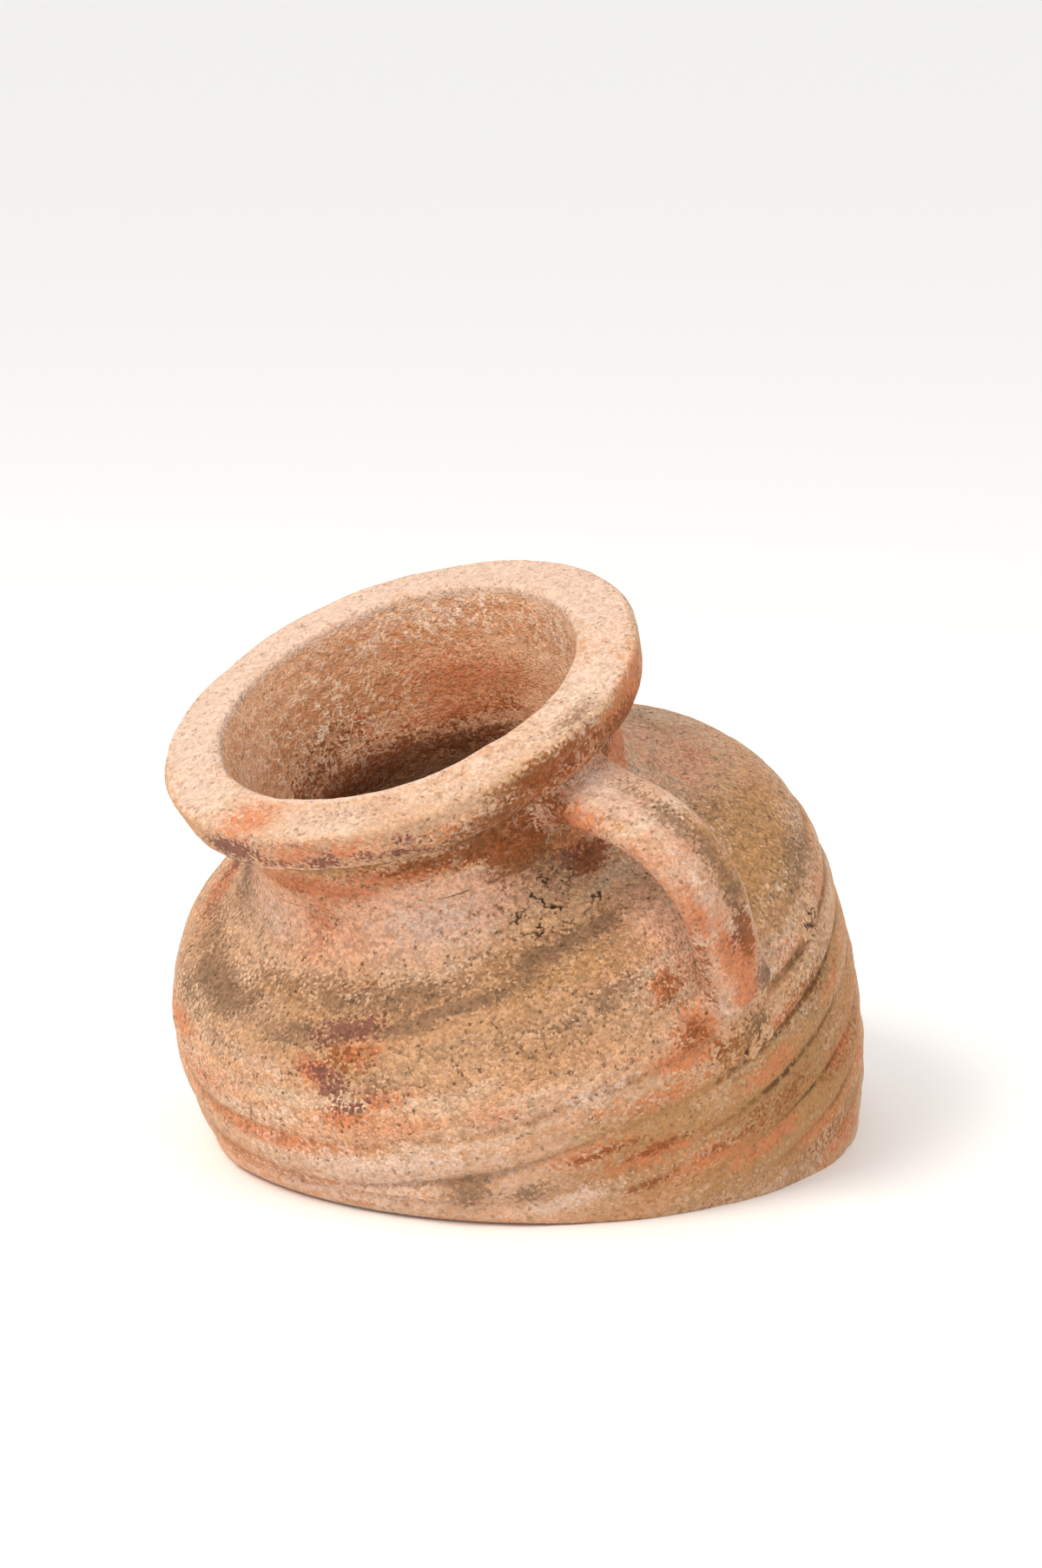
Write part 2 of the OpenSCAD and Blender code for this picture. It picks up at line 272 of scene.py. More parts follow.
def clay_masks(tree, clay):
    """Adds a soft step for each line of the list, and for each stain one with a scattered edge."""
    steps = dict(soft_steps)
    for kind, _, low, high, cover in stain_looks:
        level = clay[kind]
        for pattern, share in edge_scatter.items():
            level = add(tree, "ShaderNodeMath", {0: clay[pattern], 1: share, 2: level},
                        operation="MULTIPLY_ADD")
        clay[f"{kind}_level"] = level
        steps[f"{kind}_stain"] = (f"{kind}_level", low + edge_middle, high + edge_middle, 0, cover)
    for name, (source, low, high, start, end) in steps.items():
        levels = {"From Min": low, "From Max": high, "To Min": start, "To Max": end}
        clay[name] = add(tree, "ShaderNodeMapRange", {"Value": clay[source], **levels},
                         interpolation_type="SMOOTHSTEP")


print("masks:", len(soft_steps), "soft steps and", len(stain_looks), "stains")

# %% [markdown]
# ## Layers of colour
# The clay is coloured from below: the banded body, a darker brown in the grooves, the redder inside,
# then each stain in the order that it came, some of which also carry painted light and shade, then painted
# shade in the deepest grooves, the crust with painted shade in its cracks, the hairlines, and the painted
# shade of the hollow last. Every layer is a colour and a mask, so one loop of Mix nodes lays them all.

# %% Colour of the clay
# how much of the skin's colour the crust's plates cover, and how dark the painted shade in its cracks is
plate_cover, crack_shade_cover = 0.6, 0.95
hairline_level, hairline_half = 0.5, 0.042


def clay_layers(tree, clay, peach):
    """Colours and masks of the clay, from the lowest layer to the highest."""
    # the inside was smoked redder in the kiln
    inner_tone = add(tree, "ShaderNodeMix", {0: clay["inner_band"], 6: linear("ECB890"), 7: linear("D79B70")},
                     data_type="RGBA")
    # painted shade: a dark line along the floor of the deepest grooves, which breaks off here and there
    groove_shade_line = add(tree, "ShaderNodeMath", {0: clay["groove_floor"], 1: clay["groove_break"]},
                    operation="MULTIPLY")
    groove_shade_line = add(tree, "ShaderNodeMath", {0: groove_shade_line, 1: clay["cut"]}, operation="MULTIPLY")
    # plates of crust are paler than the skin, and the cracks between them are darkened with painted shade
    plate = add(tree, "ShaderNodeMath", {0: clay["flake"], 1: plate_cover}, operation="MULTIPLY")
    crack_shade = add(tree, "ShaderNodeMath", {0: clay["crevice_shade"], 1: crack_shade_cover}, operation="MULTIPLY")
    # pale worm-like hairlines follow a level line of the noise
    hairline = add(tree, "ShaderNodeMath", {0: clay["squiggle"], 1: hairline_level, 2: hairline_half},
                   operation="COMPARE")
    hairline = add(tree, "ShaderNodeMath", {0: hairline, 1: clay["hairline_break"]}, operation="MULTIPLY")
    hairline = add(tree, "ShaderNodeMath", {0: hairline, 1: clay["worms"]}, operation="MULTIPLY")
    # a darker brown follows the grooves of the ridges
    layers = [(linear(peach), clay["peach_band"]), (linear("E0C6AC"), clay["cream_wipe"]),
              (linear("BC9270"), clay["brown_blotch"]), (linear("AC7446"), clay["groove_darker"]),
              (inner_tone, clay["inside"])]
    layers += [(linear(shade), clay[f"{kind}_stain"]) for kind, shade, *_ in stain_looks]
    # painted shade in the grooves and in the crust's cracks, then the dark of the hollow, which is painted
    # shade growing with depth
    layers += [(linear("442C16"), groove_shade_line), (linear("D8AE86"), plate), (linear("432C1E"), crack_shade),
               (linear("F6DCC0"), hairline), (linear("2A1002"), clay["depth"])]
    return layers


print(f"crust covers {plate_cover:.0%} of the colour of the skin, and its cracks {crack_shade_cover:.0%}")

# %% [markdown]
# ## Grain and roughness
# Single grains and clumps stand up from the surface. The clumps are painted lighter on top and darker
# between, which is painted light and shade on their relief, and here and there a grain has fallen out and
# left a pit, darkened with painted shade. The same numbers feed the bump, so the painted light and the
# relief agree. Fired clay is a rough, dull stone, so the roughness is high and the gloss is half of what a
# shader starts with.

# %% Clay material
clay_roughness, clay_gloss, middle_tone = 0.92, 0.25, 0.93
# relief in mm, and what grains, clumps and pits add to it or take from it
grain_relief = 1.0
between_grains, clump_rise, pit_fall = -0.9, 2.0, -0.8


def weathered_clay(name, skin, peach):
    """Unglazed terracotta: an earthy banded skin with stains, painted light and painted shade read from the
    piece's points.
    """
    material = bpy.data.materials.new(name)
    material.use_nodes = True
    tree = material.node_tree
    tree.nodes.clear()
    clay = clay_patterns(tree)
    clay_masks(tree, clay)
    colour = linear(skin)
    for layer, mask in clay_layers(tree, clay, peach):
        # sockets 6 and 7 are the lower and the upper colour of a colour mix
        colour = add(tree, "ShaderNodeMix", {0: mask, 6: colour, 7: layer}, data_type="RGBA")

    grit = clay["grit"]
    tone = add(tree, "ShaderNodeMath", {0: clay["grain_tone"], 1: grit, 2: middle_tone},
               operation="MULTIPLY_ADD")
    # painted light and shade: raised clumps lighter, the hollows between them darker
    tone = add(tree, "ShaderNodeMath", {0: clay["clump_light_and_shade"], 1: grit, 2: tone}, operation="MULTIPLY_ADD")
    colour = add(tree, "ShaderNodeHueSaturation", {"Color": colour, "Value": tone})
    # painted shade: the colour darkens in the pits left by fallen grains
    pit = add(tree, "ShaderNodeMath", {0: clay["pit_grain"], 1: clay["pit_hollow"]}, operation="MULTIPLY")
    pit = add(tree, "ShaderNodeMath", {0: pit, 1: grit}, operation="MULTIPLY")
    colour = add(tree, "ShaderNodeMix", {0: pit, 6: colour, 7: linear("5E402A")}, data_type="RGBA")

    grain_fall = add(tree, "ShaderNodeMath", {0: grit, 1: between_grains}, operation="MULTIPLY")
    rise = add(tree, "ShaderNodeMath", {0: clay["clump"], 1: clump_rise}, operation="MULTIPLY")
    rise = add(tree, "ShaderNodeMath", {0: clay["sand"], 1: grain_fall, 2: rise}, operation="MULTIPLY_ADD")
    rise = add(tree, "ShaderNodeMath", {0: pit, 1: pit_fall, 2: rise}, operation="MULTIPLY_ADD")
    bump = add(tree, "ShaderNodeBump", {"Height": rise, "Strength": 1.0, "Distance": grain_relief * MM})
    surface = add(tree, "ShaderNodeBsdfPrincipled", {"Base Color": colour, "Roughness": clay_roughness,
                                                     "Specular IOR Level": clay_gloss, "Normal": bump})
    add(tree, "ShaderNodeOutputMaterial", {"Surface": surface})
    print(f"{name}: {len(tree.nodes)} nodes")
    return material


# thrown and wiped on the wheel: a dry, dusty, banded tan that turns peach where it is rubbed
thrown_clay = weathered_clay("weathered_thrown_terracotta", "D2AA8A", "D39E76")
# pulled through a wet hand: finer and a little pinker
pulled_clay = weathered_clay("weathered_pulled_terracotta", "D0A78D", "D09A78")

# %% [markdown]
# ## The outline
# A thrown wall is fully described by half of its cross-section. The outside runs from the edge of the
# mouth over the lip and down to the ground, and the inside from the same edge down the throat. Each
# stretch is a formula, sampled evenly, because a formula stays smooth at any spacing. First come two
# helpers and then the curves that the stretches are cut from.

# %% Points along a line
fine_step, inside_step, lip_step = 2.0, 4.0, 1.5


def spaced(points, step=fine_step):
    """Points at an even spacing along a line, with both ends kept."""
    points = np.array(points, float)
    along = np.r_[0, np.cumsum(np.hypot(*np.diff(points, axis=0).T))]
    at = np.linspace(0, along[-1], max(2, math.ceil(along[-1] / step) + 1))
    return np.c_[np.interp(at, along, points[:, 0]), np.interp(at, along, points[:, 1])]


def arc(mid, radius, start, end, steps=24):
    """Points of a circle between two angles in degrees."""
    turn = np.radians(np.linspace(start, end, steps + 1))
    return np.c_[mid[0] + radius * np.cos(turn), mid[1] + radius * np.sin(turn)]


print(f"points lie {lip_step}, {fine_step} and {inside_step} mm apart on the lip, outside and inside")


# %% Curves of the outline
def shoulder_curve(turn, r0, h0, r1):
    """Full, square-shouldered quarter oval from the neck's foot out to the widest ring."""
    power = 2 / shoulder_full
    return np.c_[r0 + (r1 - r0) * np.sin(turn) ** power, belly_h + (h0 - belly_h) * np.cos(turn) ** power]


def angle_at_height(height, h0):
    """Where the shoulder's curve passes a height."""
    return math.acos(((height - belly_h) / (h0 - belly_h)) ** (shoulder_full / 2))


def under_curve(heights, radius, depth):
    """Quarter ellipse of the belly, below its widest ring."""
    return np.c_[radius * np.sqrt(1 - ((belly_h - heights) / depth) ** 2), heights]


def cove(start, end):
    """Part of the hollow between the lip's underside and the waist of the neck."""
    turn = np.radians(90) * np.linspace(start, end, 24)
    return np.c_[cove_r - (cove_r - neck_r) * np.sin(turn),
                 lip_low - (lip_low - waist_h) * (1 - np.cos(turn))]


def belly_face(r0, h0, r1, depth):
    """From the seam under the shoulder out to the widest ring and down past the slanted cut."""
    upper = shoulder_curve(np.linspace(angle_at_height(seam_h, h0), math.pi / 2, 40), r0, h0, r1)
    return np.vstack([upper, under_curve(np.linspace(belly_h, low_h, 120)[1:], r1, depth)])


coil_to = math.asin((neck_coil_out / (belly_r - neck_r)) ** (shoulder_full / 2))
coil_end = shoulder_curve(np.array([coil_to]), neck_r, neck_foot_h, belly_r)[0]
coil_slope = (neck_foot_h - belly_h) / (belly_r - neck_r) * math.tan(coil_to) ** (2 - 2 / shoulder_full)


def coil_face(t):
    """Face of the neck's coil: it leaves the neck upright and runs out along the shoulder."""
    corner = coil_end[1] + coil_slope * neck_coil_out
    height = (1 - t) ** 2 * (neck_foot_h + neck_coil_up) + 2 * t * (1 - t) * corner + t * t * coil_end[1]
    return np.c_[neck_r + neck_coil_out * t * t, height]


print(f"the neck's coil ends {coil_end[0]:.0f} mm from the axis, {coil_end[1]:.0f} mm up it")

# %% [markdown]
# ## Stretches for each piece
# The curves are now cut where the potter joined one section to the next, and each stretch belongs to one
# piece. The inside needs fewer points, since less of it is seen.

# %% Stretches of the outline
seam_turn = angle_at_height(seam_h, neck_foot_h)
seam_turn_inside = angle_at_height(seam_h, neck_foot_h - wall)
lip_top_edge = arc((lip_r - lip_round, mouth_h - lip_fall - lip_round), lip_round, 90, -6)
lip_face = arc((0, 0), 1, -6, -90) * (lip_under - lip_taper, lip_under) + (cove_r, lip_low + lip_under)
outside = {
    "lip": spaced(np.vstack([
        arc((mouth_r + mouth_round, mouth_h - mouth_round), mouth_round, 180, 90),
        lip_top_edge, lip_face, cove(0, 0.5)[1:]]), lip_step),
    "neck": spaced(np.vstack([cove(0.5, 1), [[neck_r, neck_foot_h + neck_coil_up]]])),
    "coil": spaced(coil_face(np.linspace(0, 1, 60))),
    "shoulder": spaced(shoulder_curve(np.linspace(coil_to, seam_turn, 60), neck_r, neck_foot_h, belly_r)),
    "belly": spaced(belly_face(neck_r, neck_foot_h, belly_r, under_h)),
}
lip_seam_r, lip_seam_h = outside["lip"][-1]
lip_seam_in = throat_r + (mouth_r - throat_r) * (lip_seam_h - throat_h) / (mouth_h - throat_h)
inside = {
    "lip": spaced([[mouth_r, mouth_h - mouth_round], [lip_seam_in, lip_seam_h]], inside_step),
    "neck": spaced([[lip_seam_in, lip_seam_h], [throat_r, throat_h], [throat_r, neck_foot_h]], inside_step),
    "shoulder": spaced(np.vstack([[[throat_r, neck_foot_h]], shoulder_curve(
        np.linspace(0, seam_turn_inside, 60), throat_r, neck_foot_h - wall, belly_r - wall)]), inside_step),
    "belly": spaced(belly_face(throat_r, neck_foot_h - wall, belly_r - wall, under_h - wall), inside_step),
}
print("outline points outside:", {k: len(v) for k, v in outside.items()})
print("outline points inside:", {k: len(v) for k, v in inside.items()})

# %% [markdown]
# ## Facing and distance along the outline
# Neighbouring pieces have to meet without a step, so the direction that each point faces is worked out
# on the whole outline before it is shared out among the pieces. Every point also keeps how far down from
# the mouth it lies, which later places the stains.

# %% Facing of every outline point
def face_line(stretches, turn_sign, down_sign):
    """Adds to each stretch the direction it faces and its distance from the mouth, as columns."""
    whole = np.vstack(list(stretches.values()))
    gaps = np.hypot(*np.diff(whole, axis=0).T)
    along = np.r_[0, np.cumsum(gaps)]
    kept = np.r_[True, gaps > 1e-6]
    slope = np.gradient(whole[kept], along[kept], axis=0)
    tangent = np.c_[np.interp(along, along[kept], slope[:, 0]), np.interp(along, along[kept], slope[:, 1])]
    tangent /= np.linalg.norm(tangent, axis=1)[:, None]
    normal = turn_sign * np.c_[-tangent[:, 1], tangent[:, 0]]
    table = np.c_[whole, normal, down_sign * along]
    ends = np.cumsum([len(s) for s in stretches.values()])
    return dict(zip(stretches, np.split(table, ends[:-1])))


outer_face = face_line(outside, 1, 1)
inner_face = face_line(inside, -1, -1)
print(f"outline runs {outer_face['belly'][-1, 4]:.0f} mm from the mouth to below the ground")


# %% [markdown]
# ## The thrown wall as a node tree
# Blender's Spin could turn the outline too, but a tree keeps the rule in view and open to change. A grid
# has one row of points for each outline point and one column for each step of the turn. The tree takes
# the outline as its geometry, and each row looks up its own place on it.

# %% Nodes that turn the outline
segments = 480
# points closer than this, in metres, are made one
merge_within = 1e-5


def turned_outline(tree, given):
    """Grid for the wall, the turn at each of its points, and what the outline says there."""
    # one more row closes the ring of the outline, and one more column closes the turn
    count = add(tree, "GeometryNodeAttributeDomainSize", {"Geometry": given["Outline"]})
    count = count.outputs["Point Count"]
    rows = add(tree, "ShaderNodeMath", {0: count, 1: 1.0}, operation="ADD")
    columns = add(tree, "ShaderNodeMath", {0: given["Segments"], 1: 1.0}, operation="ADD")
    grid = add(tree, "GeometryNodeMeshGrid", {"Size X": 1.0, "Size Y": 1.0, "Vertices X": columns,
                                              "Vertices Y": rows})
    place = add(tree, "GeometryNodeInputPosition")
    share = add(tree, "ShaderNodeVectorMath", {0: place, 1: (0.5, 0.5, 0)}, operation="ADD")
    share = add(tree, "ShaderNodeSeparateXYZ", {0: share}).outputs
    turn = add(tree, "ShaderNodeMath", {0: share["X"], 1: math.tau}, operation="MULTIPLY")
    row = add(tree, "ShaderNodeMath", {0: share["Y"], 1: count}, operation="MULTIPLY")
    row = add(tree, "ShaderNodeMath", {0: row}, operation="ROUND")
    row = add(tree, "ShaderNodeMath", {0: row, 1: count}, operation="FLOORED_MODULO")

    station = {}
    for name, kind in (("facing", "FLOAT_VECTOR"), ("worked", "FLOAT"), ("ridged", "FLOAT"),
                       ("down", "FLOAT"), ("point", "FLOAT_VECTOR")):
        value = place
        if name != "point":
            value = add(tree, "GeometryNodeInputNamedAttribute", {"Name": name}, data_type=kind)
        station[name] = add(tree, "GeometryNodeSampleIndex",
                            {"Geometry": given["Outline"], "Value": value, "Index": row}, data_type=kind)
    point = add(tree, "ShaderNodeSeparateXYZ", {0: station["point"]}).outputs
    station["radius"], station["height"] = point["X"], point["Y"]
    return grid, turn, station


print(f"columns of a wall are {math.tau * belly_r / segments:.1f} mm apart at the widest ring")

# %% [markdown]
# ## Finger ridges
# Two finger ridges climb side by side as the potter raises the wall, so each climbs two pitches with
# every turn. A ridge is a rounded crest with a narrow groove beside it, which is the shape of a sine
# without its sign. Its line wanders and its strength drifts, because a hand is never even.

# %% Nodes for the finger ridges
ridge_round = 0.7
# features in a metre, how far the line of a ridge strays, in pitches, and how its strength drifts
wander_per_m, drift_per_m, wander_by = 9.0, 7.0, 0.22
drift_least, drift_most = 0.35, 1.25
# metres above and below the seam between which the ridges fade in
fade_above, fade_below = 0.034, 0.012


def finger_ridges(tree, given, turn, station, hand_place):
    """Height of the ridges at each point, and how deep in a groove it lies."""
    climb = add(tree, "ShaderNodeMath", {0: turn, 1: math.pi}, operation="DIVIDE")
    wander = add(tree, "ShaderNodeTexNoise", {"Vector": hand_place, "Scale": wander_per_m, "Detail": 1.0})
    wander = add(tree, "ShaderNodeMapRange", {"Value": wander, "To Min": -wander_by, "To Max": wander_by})
    along = add(tree, "ShaderNodeMath", {0: station["down"], 1: MM}, operation="MULTIPLY")
    along = add(tree, "ShaderNodeMath", {0: along, 1: given["Ridge start"]}, operation="SUBTRACT")
    phase = add(tree, "ShaderNodeMath", {0: along, 1: given["Ridge pitch"]}, operation="DIVIDE")
    phase = add(tree, "ShaderNodeMath", {0: phase, 1: climb}, operation="SUBTRACT")
    phase = add(tree, "ShaderNodeMath", {0: phase, 1: wander}, operation="ADD")
    wave = add(tree, "ShaderNodeMath", {0: phase, 1: math.pi}, operation="MULTIPLY")
    wave = add(tree, "ShaderNodeMath", {0: wave}, operation="SINE")
    wave = add(tree, "ShaderNodeMath", {0: wave}, operation="ABSOLUTE")
    crest = add(tree, "ShaderNodeMath", {0: wave, 1: ridge_round}, operation="POWER")

    below = add(tree, "ShaderNodeMath", {0: given["Ridge top"], 1: station["height"]}, operation="SUBTRACT")
    fade = add(tree, "ShaderNodeMapRange", {"Value": below, "From Min": -fade_above, "From Max": fade_below},
               interpolation_type="SMOOTHSTEP")
    drift = add(tree, "ShaderNodeTexNoise", {"Vector": hand_place, "Scale": drift_per_m, "Detail": 2.0})
    drift = add(tree, "ShaderNodeMapRange", {"Value": drift, "From Min": 0.3, "From Max": 0.7,
                                             "To Min": drift_least, "To Max": drift_most})
    strength = add(tree, "ShaderNodeMath", {0: fade, 1: drift}, operation="MULTIPLY")
    strength = add(tree, "ShaderNodeMath", {0: strength, 1: station["ridged"]}, operation="MULTIPLY")
    ridge = add(tree, "ShaderNodeMath", {0: crest, 1: strength}, operation="MULTIPLY")
    groove = add(tree, "ShaderNodeMath", {0: strength, 1: ridge}, operation="SUBTRACT")
    ridge = add(tree, "ShaderNodeMath", {0: ridge, 1: given["Ridge rise"]}, operation="MULTIPLY")
    return ridge, groove


print(f"finger ridges are {ridge_pitch} mm apart and {ridge_rise} mm high")

# %% [markdown]
# ## Swells and dimples
# Swells are as wide as a hand and dimples as wide as a fingertip. Both are noise with a fixed seed, and
# a seam has neither, because two sections have to meet there.

# %% Nodes for the worked skin
swell_per_m, dimple_per_m = 14.0, 75.0


def worked_skin(tree, given, station, hand_place):
    """Height of swells and dimples at each point."""
    swell = add(tree, "ShaderNodeTexNoise", {"Vector": hand_place, "Scale": swell_per_m, "Detail": 1.5})
    swell = add(tree, "ShaderNodeMath", {0: swell, 1: 0.5}, operation="SUBTRACT")
    swell = add(tree, "ShaderNodeMath", {0: swell, 1: given["Swell"]}, operation="MULTIPLY")
    dimple = add(tree, "ShaderNodeTexNoise", {"Vector": hand_place, "Scale": dimple_per_m, "Detail": 3.0,
                                              "Roughness": 0.6})
    dimple = add(tree, "ShaderNodeMath", {0: dimple, 1: 0.5}, operation="SUBTRACT")
    dimple = add(tree, "ShaderNodeMath", {0: dimple, 1: given["Dimple"]}, operation="MULTIPLY")
    relief = add(tree, "ShaderNodeMath", {0: swell, 1: dimple}, operation="ADD")
    relief = add(tree, "ShaderNodeMath", {0: relief, 1: station["worked"]}, operation="MULTIPLY")
    return relief


print(f"swells are {1 / swell_per_m / MM:.0f} mm apart and dimples {1 / dimple_per_m / MM:.0f} mm")

# %% [markdown]
# ## The whole tree
# Each point moves along the direction that the outline faces there, the ring is closed, and the wall
# leans. The tree ends in Realize Instances and Set Material, so that it hands on plain clay.

# %% Node tree that throws a wall
wall_sizes = ("Ridge pitch", "Ridge rise", "Ridge start", "Ridge top", "Swell", "Dimple", "Seed", "Lean",
              "Axis foot")


def thrown_wall_tree():
    """Tree that turns an outline into a wall with ridges, swells and dimples, and leans it."""
    tree = bpy.data.node_groups.new("thrown_wall", "GeometryNodeTree")
    sockets = {"Outline": "NodeSocketGeometry", "Segments": "NodeSocketInt", "Clay": "NodeSocketMaterial"}
    sockets.update({size: "NodeSocketFloat" for size in wall_sizes})
    for name, kind in sockets.items():
        tree.interface.new_socket(name, in_out="INPUT", socket_type=kind)
    tree.interface.new_socket("Wall", in_out="OUTPUT", socket_type="NodeSocketGeometry")
    given = add(tree, "NodeGroupInput").outputs
    grid, turn, station = turned_outline(tree, given)

    # the turn starts on the side that the jar leans to
    back_turn = add(tree, "ShaderNodeMath", {0: turn, 1: math.pi}, operation="ADD")
    spoke = add(tree, "ShaderNodeCombineXYZ", {
        "X": add(tree, "ShaderNodeMath", {0: back_turn}, operation="COSINE"),
        "Y": add(tree, "ShaderNodeMath", {0: back_turn}, operation="SINE")})
    stand = add(tree, "ShaderNodeCombineXYZ", {"Z": station["height"]})
    upright = add(tree, "ShaderNodeVectorMath", {0: spoke, "Scale": station["radius"]}, operation="SCALE")
    upright = add(tree, "ShaderNodeVectorMath", {0: upright, 1: stand}, operation="ADD")
    hand_place = add(tree, "ShaderNodeCombineXYZ", {"X": given["Seed"], "Y": given["Seed"]})
    hand_place = add(tree, "ShaderNodeVectorMath", {0: upright, 1: hand_place}, operation="ADD")

    ridge, groove = finger_ridges(tree, given, turn, station, hand_place)
    relief = worked_skin(tree, given, station, hand_place)
    relief = add(tree, "ShaderNodeMath", {0: relief, 1: ridge}, operation="ADD")

    facing = add(tree, "ShaderNodeSeparateXYZ", {0: station["facing"]}).outputs
    out = add(tree, "ShaderNodeVectorMath", {0: spoke, "Scale": facing["X"]}, operation="SCALE")
    up = add(tree, "ShaderNodeCombineXYZ", {"Z": facing["Y"]})
    out = add(tree, "ShaderNodeVectorMath", {0: out, 1: up}, operation="ADD")
    out = add(tree, "ShaderNodeVectorMath", {0: out, "Scale": relief}, operation="SCALE")
    shaped = add(tree, "ShaderNodeVectorMath", {0: upright, 1: out}, operation="ADD")

    made = grid
    for name, value in (("groove", groove), ("down", station["down"])):
        made = add(tree, "GeometryNodeStoreNamedAttribute", {"Geometry": made, "Name": name, "Value": value},
                   data_type="FLOAT")
    made = add(tree, "GeometryNodeSetPosition", {"Geometry": made, "Position": shaped})
    made = add(tree, "GeometryNodeMergeByDistance", {"Geometry": made, "Distance": merge_within})
    tilt = add(tree, "ShaderNodeMath", {0: given["Lean"], 1: -1.0}, operation="MULTIPLY")
    made = add(tree, "GeometryNodeTransform", {
        "Geometry": made, "Translation": add(tree, "ShaderNodeCombineXYZ", {"X": given["Axis foot"]}),
        "Rotation": add(tree, "ShaderNodeCombineXYZ", {"Y": tilt})})
    made = add(tree, "GeometryNodeSetShadeSmooth", {"Geometry": made})
    made = add(tree, "GeometryNodeRealizeInstances", {"Geometry": made})
    made = add(tree, "GeometryNodeSetMaterial", {"Geometry": made, "Material": given["Clay"]})
    add(tree, "NodeGroupOutput", {"Wall": made})
    return tree


wall_tree = thrown_wall_tree()
print("thrown_wall tree:", len(wall_tree.nodes), "nodes")

# %% [markdown]
# ## Outlines of the five thrown pieces
# Each piece is a closed outline: up the inside, over or across the top seam, down the outside and back
# along the lower seam. The seams keep the ridge of clay that holds one section in the next, and the coil
# is pressed a millimetre into its seat on the neck and the shoulder.

# %% Close the outlines
def hidden(points):
    """Rows for a line that no one sees, such as a seam: no facing, no distance."""
    points = np.array(points, float)
    return np.c_[points, np.zeros((len(points), 3))]


def tongue(r_in, r_out, height):
    """Ridge of clay along the middle of a seam, set into the section below."""
    mid = (r_in + r_out) / 2
    return hidden([[mid - key_half, height], [mid, height - key_depth], [mid + key_half, height]])


shoulder_in, shoulder_out = inside["shoulder"][-1][0], outside["shoulder"][-1][0]
under_coil = spaced(shoulder_curve(np.linspace(0, coil_to, 40), neck_r, neck_foot_h, belly_r), inside_step)
behind_coil = spaced([[neck_r, neck_foot_h + neck_coil_up], [neck_r, neck_foot_h]], inside_step)
joint_face = face_line({"neck": behind_coil, "shoulder": under_coil}, 1, 0)
coil_sink, sink_slope = 1.0, 0.25
for rows in joint_face.values():
    to_ends = [np.hypot(*(rows[:, :2] - end).T) for end in (behind_coil[0], coil_end)]
    sunk = np.minimum(coil_sink, sink_slope * np.minimum(*to_ends))
    rows[:, :2] -= rows[:, 2:4] * sunk[:, None]
lip_tongue = tongue(lip_seam_in, lip_seam_r, lip_seam_h)
neck_tongue = tongue(throat_r, neck_r, neck_foot_h)
belly_tongue = tongue(shoulder_in, shoulder_out, seam_h)

thrown_outlines = {
    "lip": [inner_face["lip"][::-1], outer_face["lip"], lip_tongue[::-1]],
    "neck": [inner_face["neck"][::-1], lip_tongue, outer_face["neck"], joint_face["neck"], neck_tongue[::-1]],
    "coil": [outer_face["coil"], joint_face["shoulder"][::-1], joint_face["neck"][::-1]],
    "shoulder": [inner_face["shoulder"][::-1], neck_tongue, joint_face["shoulder"][:-1],
                 outer_face["shoulder"], belly_tongue[::-1]],
    "belly": [inner_face["belly"][::-1], belly_tongue, outer_face["belly"]],
}
print("closed outlines:", {k: sum(map(len, v)) for k, v in thrown_outlines.items()})

# %% [markdown]
# ## Throwing the five walls
# The tree runs once for each outline. Its inputs are set by the socket's identifier before the object is
# first evaluated, and the result is kept as a plain mesh, so that no modifier is left on the piece.

# %% Helpers for a finished mesh
seam_angle = math.radians(48)


def settle(name, mesh):
    """Points all faces outwards, smooths them, keeps the sharp edges of seams and counts open edges."""
    work = bmesh.new()
    work.from_mesh(mesh)
    bmesh.ops.recalc_face_normals(work, faces=work.faces)
    loose = sum(not e.is_manifold for e in work.edges)
    work.to_mesh(mesh)
    work.free()
    mesh.shade_smooth()
    mesh.set_sharp_from_angle(angle=seam_angle)
    print(f"{name}: {len(mesh.polygons)} faces, {loose} open edges")


def keep_columns(mesh, columns):
    """Keeps one number for each point of a mesh under each name."""
    for key, values in columns.items():
        mesh.attributes.new(key, "FLOAT", "POINT").data.foreach_set("value", np.array(values, np.float32))


print(f"an edge sharper than {math.degrees(seam_angle):.0f} degrees stays sharp")


# %% Throw each piece
swell_depth, dimple_depth, hand_seed = 4.5, 1.3, 3.0
# how strongly the inside was worked, against the outside
inside_work = 0.6


